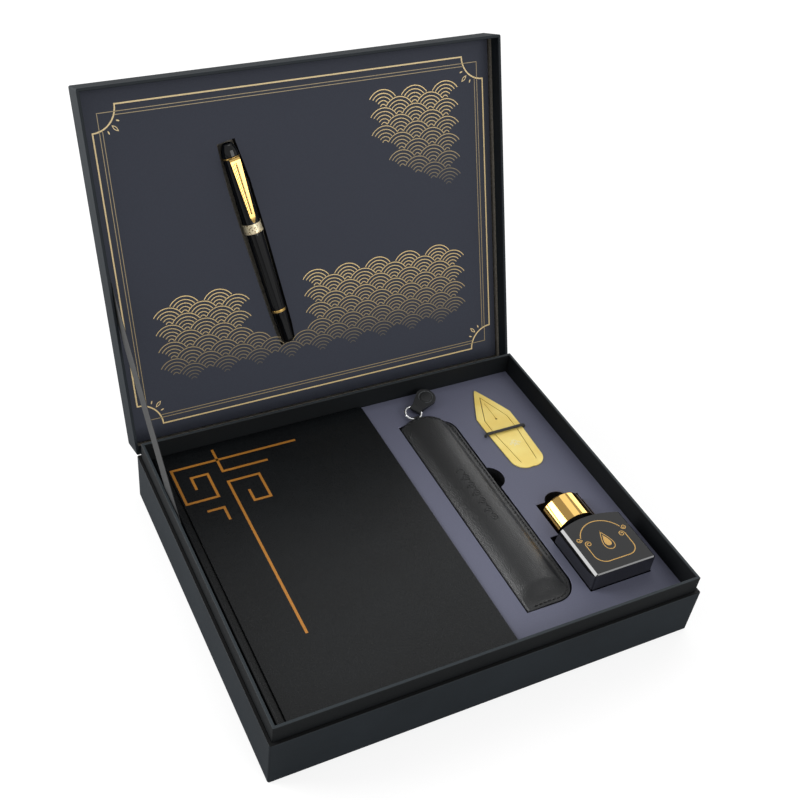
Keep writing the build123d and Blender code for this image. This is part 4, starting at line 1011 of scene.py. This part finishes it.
class SETBOX_OT_ribbon(bpy.types.Operator):
    """Models the satin ribbon that stops the lid"""

    bl_idname = "setbox.ribbon"
    bl_label = "Ribbon stay"

    def execute(self, context):
        points = corners_of("ribbon_stay")
        middle = mean(points)
        run = self.long_edge(NODES["ribbon_stay"].data)
        side = Vector((0, run.z, -run.y)).normalized()
        across = [(p - middle).dot(side) for p in points]
        width = max(across) - min(across)
        centre = middle + side * (max(across) + min(across)) / 2
        # It runs from inside the neck's wall to behind the lining
        neck_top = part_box("neck")[1].z
        start = (neck_top - 13.5 * MM - centre.z) / run.z
        lid_inverse = LID.inverted()
        behind = lid_box("lid_lining")[0].z + 3.5 * MM
        end = (behind - (lid_inverse @ centre).z) / (lid_inverse.to_3x3() @ run).z
        reach = end - start
        ribbon = primitive("satin_ribbon", "grid", x_subdivisions=72, y_subdivisions=8, size=1, calc_uvs=True)
        for loop in ribbon.data.uv_layers.active.data:
            loop.uv = (loop.uv[0] * reach, loop.uv[1] * width)
        turn = Matrix((run * reach, side * width, run.cross(side))).transposed().to_4x4()
        ribbon.data.transform(Matrix.Translation(centre + run * (start + end) / 2) @ turn)
        edit(ribbon)
        face_out()
        modify(ribbon, "SOLIDIFY", thickness=0.3 * MM, offset=0)
        smooth(ribbon, 60)
        satin = woven("satin_ribbon_weave", linear("0e1113"), 0.45, 0.15, uv=True, roughness=0.5)
        give(ribbon, satin, "base", "ribbon", "ribbon_stay")
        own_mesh(ribbon)
        return {"FINISHED"}

    @staticmethod
    def long_edge(mesh):
        """The direction of a mesh's longest edge, upwards."""
        runs = [mesh.vertices[e.vertices[1]].co - mesh.vertices[e.vertices[0]].co for e in mesh.edges]
        longest = max(runs, key=lambda run: run.length).normalized()
        return -longest if longest.z < 0 else longest


class SETBOX_OT_notebook(bpy.types.Operator):
    """Finishes the notebook and stamps its cover with a fret in bronze foil"""

    bl_idname = "setbox.notebook"
    bl_label = "Notebook"

    def execute(self, context):
        colour = linear("080b0d")
        leatherette = grained_leather("embossed_leatherette", colour, 0.8, 0.03, 0.26, 0.42, 0.25)
        for node, name, body in (
            ("front_cover", "cover_board_front", "notebook_cover"),
            ("back_cover", "cover_board_back", "notebook"),
            ("spine_board", "cover_spine", "notebook"),
        ):
            remodel(name, node, leatherette, body, "leatherette", 0.35 * MM, 3)
        self.joint(leatherette)
        paint(book_pages(), "page_block")
        paint(wrapping_paper("endpaper_black", linear("1b1c1f")), "front_endpaper", "back_endpaper")
        paint(woven("woven_headband", linear("b8954a"), 1.6, 0.2), "headbands")
        self.fret(context.scene.setbox_print)
        return {"FINISHED"}

    def joint(self, material):
        """The strip of leatherette between the spine and the front cover."""
        low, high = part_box("cover_joint")
        strip = primitive("cover_joint_strip", "grid", x_subdivisions=6, y_subdivisions=24, size=1,
                          location=(low + high) / 2)
        set_down(strip, (high.x - low.x, high.y - low.y, 1))
        modify(strip, "SOLIDIFY", thickness=high.z - low.z - 0.05 * MM, offset=0)
        smooth(strip, 60)
        give(strip, material, None, "leatherette", "cover_joint")
        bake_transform(strip)

    def fret(self, settings):
        """Two square spirals at the corner by the spine, with long tails along the head and the side."""
        low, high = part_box("front_cover")
        # In millimetres from the spine and down from the head
        lines = (
            [(88, 15), (2, 15), (2, 46), (23, 46), (23, 25), (12, 25), (12, 36)],
            [(33, 164), (33, 36), (54, 36), (54, 57), (43, 57), (43, 47)],
            [(33, 5), (33, 26), (64, 26)],
            [(12, 56), (23, 56), (23, 67)],
        )
        bars = []
        for line in lines:
            placed = [(low.x + x * MM, high.y - y * MM) for x, y in line]
            bars.append(raised_line("bar", placed, settings.foil_width, settings.relief * 2))
        foil = hot_foil("bronze_foil", linear("bb7c2c"))
        printed("cover_fret_foil", bars, raised(high.z), foil, "notebook_cover", "leatherette")


class SETBOX_OT_pouch(bpy.types.Operator):
    """Models the leather pouch with its soft edges, its seams and the scroll tooled on it"""

    bl_idname = "setbox.pouch"
    bl_label = "Pouch"

    def execute(self, context):
        stitches = context.scene.setbox_stitch
        leather = grained_leather("grained_calf_leather", linear("0c0e10"), 1.1, 0.1, 0.32, 0.5, 0.6)
        pouch = twin_of("pouch_body", NODES["pouch_leather"].data)
        edit(pouch)
        bpy.ops.mesh.remove_doubles(threshold=MERGE)
        leave()
        modify(pouch, "REMESH", mode="VOXEL", voxel_size=0.7 * MM)
        modify(pouch, "SMOOTH", factor=0.5, iterations=7)
        swell = bpy.data.textures.new("leather_swell", "CLOUDS")
        swell.noise_scale = 30 * MM
        modify(pouch, "DISPLACE", texture=swell, strength=0.5 * MM, mid_level=0.5, texture_coords="LOCAL")
        self.low, self.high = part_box("pouch_leather")
        self.press_seam(pouch)
        smooth(pouch, 180)
        give(pouch, leather, "pouch", "pouch_leather", "pouch_leather")
        thread = woven("waxed_thread", linear("0c0d0e"), 0.4, 0.0, roughness=0.35)
        sew("pouch_stitches", pouch, evenly(self.seam(stitches.edge), stitches.pitch), stitches.stitch_length,
            stitches.thread, "pouch", thread, "pouch_leather")
        self.scroll(pouch, leather)
        remodel("ring_keeper_strap", "ring_keeper", leather, "pouch", "pouch_leather", 0.2 * MM)
        return {"FINISHED"}

    def press_seam(self, pouch):
        """Presses the crown down to a flat band at the foot and the side, where two layers are sewn."""
        seam_top, flat = self.low.z + 8.4 * MM, 2.8 * MM
        foot_rise, side_rise = 14 * MM, 6 * MM
        left_over = 0.2  # of the crown, on the band
        for vertex in pouch.data.vertices:
            above = vertex.co.z - seam_top
            if above > 0:
                from_foot = (vertex.co.y - self.low.y - flat) / foot_rise
                from_side = (self.high.x - vertex.co.x - flat) / side_rise
                share = max(0, min(1, from_foot, from_side))
                eased = share * share * (3 - 2 * share)
                vertex.co.z = seam_top + above * (left_over + (1 - left_over) * eased)

    def seam(self, edge):
        """Along the mouth, round its shoulder, down the sewn side, round the corner and along the foot."""
        low, high = self.low, self.high
        shoulder = (high.x - 11 * MM, high.y - 14 * MM)
        rounding = arc(shoulder, 11 * MM - edge, 62.9, 0, 6)
        peak = ((low.x + high.x) / 2 - 7.5 * MM, high.y - edge)
        mouth = three_point_arc((low.x + edge, high.y - 1.1 * MM - edge * 0.7), peak, rounding[0], 24)
        corner = arc((high.x - 15 * MM, low.y + 15 * MM), 15 * MM - edge, 0, -90, 12)
        return mouth + rounding[1:] + corner + [(low.x + 3 * MM, low.y + edge)]

    def scroll(self, pouch, leather):
        """A running scroll along the crown: waves that curl over towards the foot."""
        crown = (self.low.x + self.high.x) / 2 - 2.5 * MM
        first, pitch = 20 * MM, 7.4 * MM
        waves = []
        for count in range(6):
            y = first - count * pitch
            curl = spiral((crown + 0.6 * MM, y), 2.9 * MM, 0.5 * MM, 100, -470, 26)
            ends = (crown - 2.6 * MM, y + 6.4 * MM), (crown - 2.4 * MM, y + 4.1 * MM)
            tail = three_point_arc(*ends, curl[0], 6)
            waves.append(draped_line("wave", pouch, tail[:-1] + curl, 0.38 * MM))
        line = smooth(join("pouch_tooled_scroll", waves), 80)
        give(line, leather, "pouch", "pouch_leather")


class SETBOX_OT_pull(bpy.types.Operator):
    """Finishes the ring and models the sewn leather pull"""

    bl_idname = "setbox.pull"
    bl_label = "Ring and pull"

    def execute(self, context):
        stitches = context.scene.setbox_stitch
        nickel = plated("polished_nickel", linear("eceded"), 0.1)
        remodel("pull_ring_wire", "pull_ring", nickel, "pull", "ring_steel", 0.01 * MM)
        leather = grained_leather("pull_calf_leather", linear("121416"), 0.9, 0.08, 0.36, 0.58)
        pull = remodel("pull_tab_leather", "pull_tab", leather, "pull", "pull_leather", 0.25 * MM, 3)
        place = self.broad_end(pull)
        half_length, half_width = 4.4 * MM, 3.8 * MM
        self.patch(place, half_length, half_width, leather)
        thread = woven("waxed_thread_fine", linear("4c5052"), 0.4, 0.2)
        # Half-length stitches of a thinner thread run round the patch, open towards the ring
        out, opening, steps = 1.0 * MM, 60, 24
        turns = [radians(-180 + opening / 2 + (360 - opening) * step / steps) for step in range(steps + 1)]
        rim = [place @ Vector(((half_length + out) * cos(t), (half_width + out) * sin(t), 0)) for t in turns]
        sew("pull_stitches", pull, [(p.x, p.y) for p in rim], stitches.stitch_length * 0.5,
            stitches.thread * 0.65, "pull", thread, "pull_leather")
        return {"FINISHED"}

    @staticmethod
    def broad_end(pull):
        """The frame of the pull's broad end: X away from the ring, Z out of the leather."""
        ring = sum(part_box("pull_ring"), Vector()) / 2
        points = corners_of("pull_tab")
        reach = max((p - ring).length for p in points)
        run = (mean([p for p in points if (p - ring).length > reach - 0.8 * MM]) - ring).normalized()
        above = ring + run * 17 * MM
        hit, middle, up, _ = pull.ray_cast(Vector((above.x, above.y, ABOVE)), DOWN)
        if not hit:
            raise RuntimeError("the pull's broad end isn't under its patch")
        across = up.cross(run).normalized()
        return Matrix.Translation(middle) @ Matrix((across.cross(up), across, up)).transposed().to_4x4()

    @staticmethod
    def patch(place, half_length, half_width, leather):
        """An oval patch with a raised middle, sunk a little into the pull."""
        oval = primitive("pull_oval_patch", "circle", vertices=40, radius=1, fill_type="NGON")
        set_down(oval, (half_length, half_width, 1))
        edit(oval)
        extrude((0, 0, 0.4 * MM))
        bpy.ops.mesh.inset(thickness=0.8 * MM)
        bpy.ops.transform.translate(value=(0, 0, 0.25 * MM))
        face_out()
        oval.data.transform(place @ Matrix.Translation((0, 0, -0.1 * MM)))
        modify(oval, "BEVEL", width=0.15 * MM, segments=2, limit_method="ANGLE")
        give(smooth(oval, 60), leather, "pull", "pull_leather")


class SETBOX_OT_bottle(bpy.types.Operator):
    """Models the glass bottle, fills it with ink and finishes its cap and print"""

    bl_idname = "setbox.bottle"
    bl_label = "Ink bottle"

    def execute(self, context):
        remodel("bottle_pressed_glass", "bottle_glass", inked_glass(), "bottle", "bottle_glass",
                0.35 * MM, 3, 20)
        ink = remodel("ink_fill", "ink", black_ink(), "bottle", "ink", 0.3 * MM)
        # Thick glass magnifies the ink, so it is drawn nearly as wide as the bottle
        modify(ink, "DISPLACE", strength=1.9 * MM, mid_level=0.0)
        cap_gold = plated("gold_plated_cap", linear("d8b066"), 0.07)
        remodel("cap_metal", "cap_shell", cap_gold, "cap", "cap_gold", 0.2 * MM, 3)
        paint(moulded("cap_liner_plastic", linear("151516")), "cap_insert")
        paint(moulded("seal_foam_white", linear("e8e6e0"), 0.8), "cap_seal")
        self.label(context.scene.setbox_print.relief)
        return {"FINISHED"}

    def label(self, relief):
        """A thin gold frame of an arch and a bowl that end in scrolls, round a drop, on the broad face."""
        low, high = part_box("bottle_glass")
        x, y = (low.x + high.x) / 2, low.y + 22.4 * MM
        half, rise, corner = 14.5 * MM, 15.5 * MM, 7 * MM
        fine, broad = 0.5 * MM, 0.6 * MM
        arch = three_point_arc((x - half, y + 6 * MM), (x, y + rise), (x + half, y + 6 * MM), 22)
        bowl = arc((x - half + corner, y - rise + corner), corner, 180, 270, 8)
        bowl += arc((x + half - corner, y - rise + corner), corner, 270, 360, 8)
        pieces = []
        for side in (-1, 1):
            start, sweep = (0, 520) if side < 0 else (180, -520)
            upper = (x + side * (half + 1.9 * MM), y + 5 * MM)
            lower = (x + side * (half - 2.2 * MM), y + 0.5 * MM)
            for centre, radius, first in ((upper, 1.9 * MM, start), (lower, 2.2 * MM, 180 - start)):
                curl = spiral(centre, radius, 0.5 * MM, first, -sweep, 22)
                pieces.append(raised_line("scroll", curl, fine, relief))
        bowl = [(x - half, y + 0.5 * MM)] + bowl + [(x + half, y + 0.5 * MM)]
        pieces.append(raised_line("arch", arch, broad, relief))
        pieces.append(raised_line("bowl", bowl, broad, relief))
        pieces.append(raised_line("drop", self.drop(x, y, 1.0), fine, relief, closed=True))
        pieces.append(filled_shape("drop", self.drop(x, y, 0.62), relief))
        gold = hot_foil("bottle_gold_ink", linear("cfa459"))
        printed("bottle_gold_print", pieces, raised(high.z), gold, "bottle", "bottle_glass")

    @staticmethod
    def drop(x, y, size):
        """A circle drawn out to a point towards the neck."""
        half_width, half_height, steps = 5.0 * MM, 7.2 * MM, 40
        points = []
        for step in range(steps):
            turn = 2 * pi * step / steps
            wide = half_width * sin(turn) * sin(turn / 2) ** 1.5
            points.append((x + wide * size, y - 0.5 * MM + half_height * cos(turn) * size))
        return points


class SETBOX_OT_bookmark(bpy.types.Operator):
    """Finishes the brass bookmark and etches scales on it"""

    bl_idname = "setbox.bookmark"
    bl_label = "Bookmark"

    def execute(self, context):
        remodel("bookmark_etched_brass", "bookmark_plate", satin_brass(), "bookmark", "bookmark_brass",
                0.06 * MM)
        low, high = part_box("bookmark_plate")
        middle, foot = (low.x + high.x) / 2, low.y
        etched = []
        for column, row in ((0, 0), (-1, 1), (1, 1), (0, 2)):
            centre = (middle + column * 2.1 * MM, foot + (21 + row * 1.9) * MM)
            for radius in (1.9 * MM, 1.1 * MM):
                etched.append(raised_line("scale", arc(centre, radius, 0, 180, 10), 0.3 * MM, 0.02 * MM))
        bright = hot_foil("etched_line", linear("fbf3cf"), 0.1)
        printed("bookmark_etched_scales", etched, raised(high.z), bright, "bookmark", "bookmark_brass")
        return {"FINISHED"}


class SETBOX_OT_pen(bpy.types.Operator):
    """Finishes the fountain pen: black lacquer with gold-plated trims"""

    bl_idname = "setbox.pen"
    bl_label = "Fountain pen"

    def execute(self, context):
        black = lacquer()
        gold = plated("gold_plated_trim", linear("f3c877"), 0.16)
        for node in ("pen_cap", "pen_finial", "pen_barrel", "pen_tail"):
            remodel(node + "_lacquered", node, black, "pen", "lacquer", 0.12 * MM)
        for node in ("clip_ring", "barrel_ring", "pen_clip"):
            clip = remodel(node + "_plated", node, gold, "pen", "pen_gold", 0.1 * MM)
        self.dress_clip(clip, black)
        remodel("cap_band_engraved", "cap_band", engraved_plate(), "pen", "pen_gold", 0.08 * MM)
        paint(moulded("pen_inner_plastic", linear("141415")), "inner_cap", "grip_section", "feed")
        paint(plated("gold_plated_nib", linear("e2bd6b"), 0.2), "nib")
        paint(moulded("converter_clear_plastic", linear("b9bec4"), 0.2), "converter")
        return {"FINISHED"}

    def dress_clip(self, clip, black):
        """A black line down the clip's groove, and slanted ribs on its left strip in a darker gold, painted
        shade.
        """
        flat = LINING.inverted()
        root, tail = [mean([flat @ place for place in corners_of(node)])
                      for node in ("pen_finial", "pen_tail")]
        run = (tail - root).xy.normalized()
        left = Vector((run.y, -run.x))
        left = left if left.x < 0 else -left
        places = [(flat @ v.co).xy - root.xy for v in clip.data.vertices]
        start, end = min(p.dot(run) for p in places), max(p.dot(run) for p in places)
        sides = [p.dot(left) for p in places]
        middle = root.xy + left * (max(sides) + min(sides)) / 2
        plain = 9 * MM  # of the clip's length, by its root and its tip

        def at(along, across):
            return middle + run * along + left * across

        steps = 24
        groove = [at(start + 3 * MM + (end - start - plain) * i / steps, 0) for i in range(steps + 1)]
        line = draped_line("clip_groove_line", clip, groove, 0.34 * MM, LINING)
        give(smooth(line, 60), black, "pen", "lacquer")
        ribs = []
        pitch, slant, inner = 2.1 * MM, 0.5 * MM, 0.7 * MM
        for count in range(int((end - start - plain) / pitch)):
            along = start + 3.5 * MM + count * pitch
            # The clip narrows towards its tip, and the ribs with it
            reach = (3.0 - 1.5 * (along - start) / (end - start)) * MM
            rib = [at(along + slant * i, inner + (reach - inner) * i / 3) for i in range(4)]
            ribs.append(draped_line("rib", clip, rib, 0.2 * MM, LINING))
        # The ribs are drawn in a darker gold: painted shade of the ribbing
        rib_painted_shade_gold = plated("gold_plate_in_shade", linear("a8741f"), 0.3)
        give(smooth(join("clip_ribs", ribs), 60), rib_painted_shade_gold, "pen", "pen_gold")


PIECES = (
    SETBOX_OT_stage, SETBOX_OT_paper, SETBOX_OT_insert, SETBOX_OT_lining, SETBOX_OT_hinge_cloth,
    SETBOX_OT_ribbon, SETBOX_OT_notebook, SETBOX_OT_pouch, SETBOX_OT_pull, SETBOX_OT_bottle,
    SETBOX_OT_bookmark, SETBOX_OT_pen,
)
SETTINGS = {"setbox_stage": StageSettings, "setbox_print": PrintSettings, "setbox_stitch": StitchSettings}


class SETBOX_PT_panel(bpy.types.Panel):
    """Lists the pieces of the set box"""

    bl_idname = "SETBOX_PT_panel"
    bl_label = "Calligraphy Set Box"
    bl_space_type = "VIEW_3D"
    bl_region_type = "UI"
    bl_category = "Set Box"

    def draw(self, context):
        for piece in PIECES:
            self.layout.operator(piece.bl_idname)
        for name, kind in SETTINGS.items():
            box = self.layout.box()
            for key in kind.__annotations__:
                box.prop(getattr(context.scene, name), key)


def register():
    for kind in (*SETTINGS.values(), *PIECES, SETBOX_PT_panel):
        bpy.utils.register_class(kind)
    for name, kind in SETTINGS.items():
        setattr(bpy.types.Scene, name, PointerProperty(type=kind))


def unregister():
    for name in SETTINGS:
        delattr(bpy.types.Scene, name)
    for kind in reversed((*SETTINGS.values(), *PIECES, SETBOX_PT_panel)):
        bpy.utils.unregister_class(kind)


def main():
    """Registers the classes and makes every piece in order."""
    register()
    for piece in PIECES:
        group, name = piece.bl_idname.split(".")
        getattr(getattr(bpy.ops, group), name)()


if __name__ == "__main__":
    main()
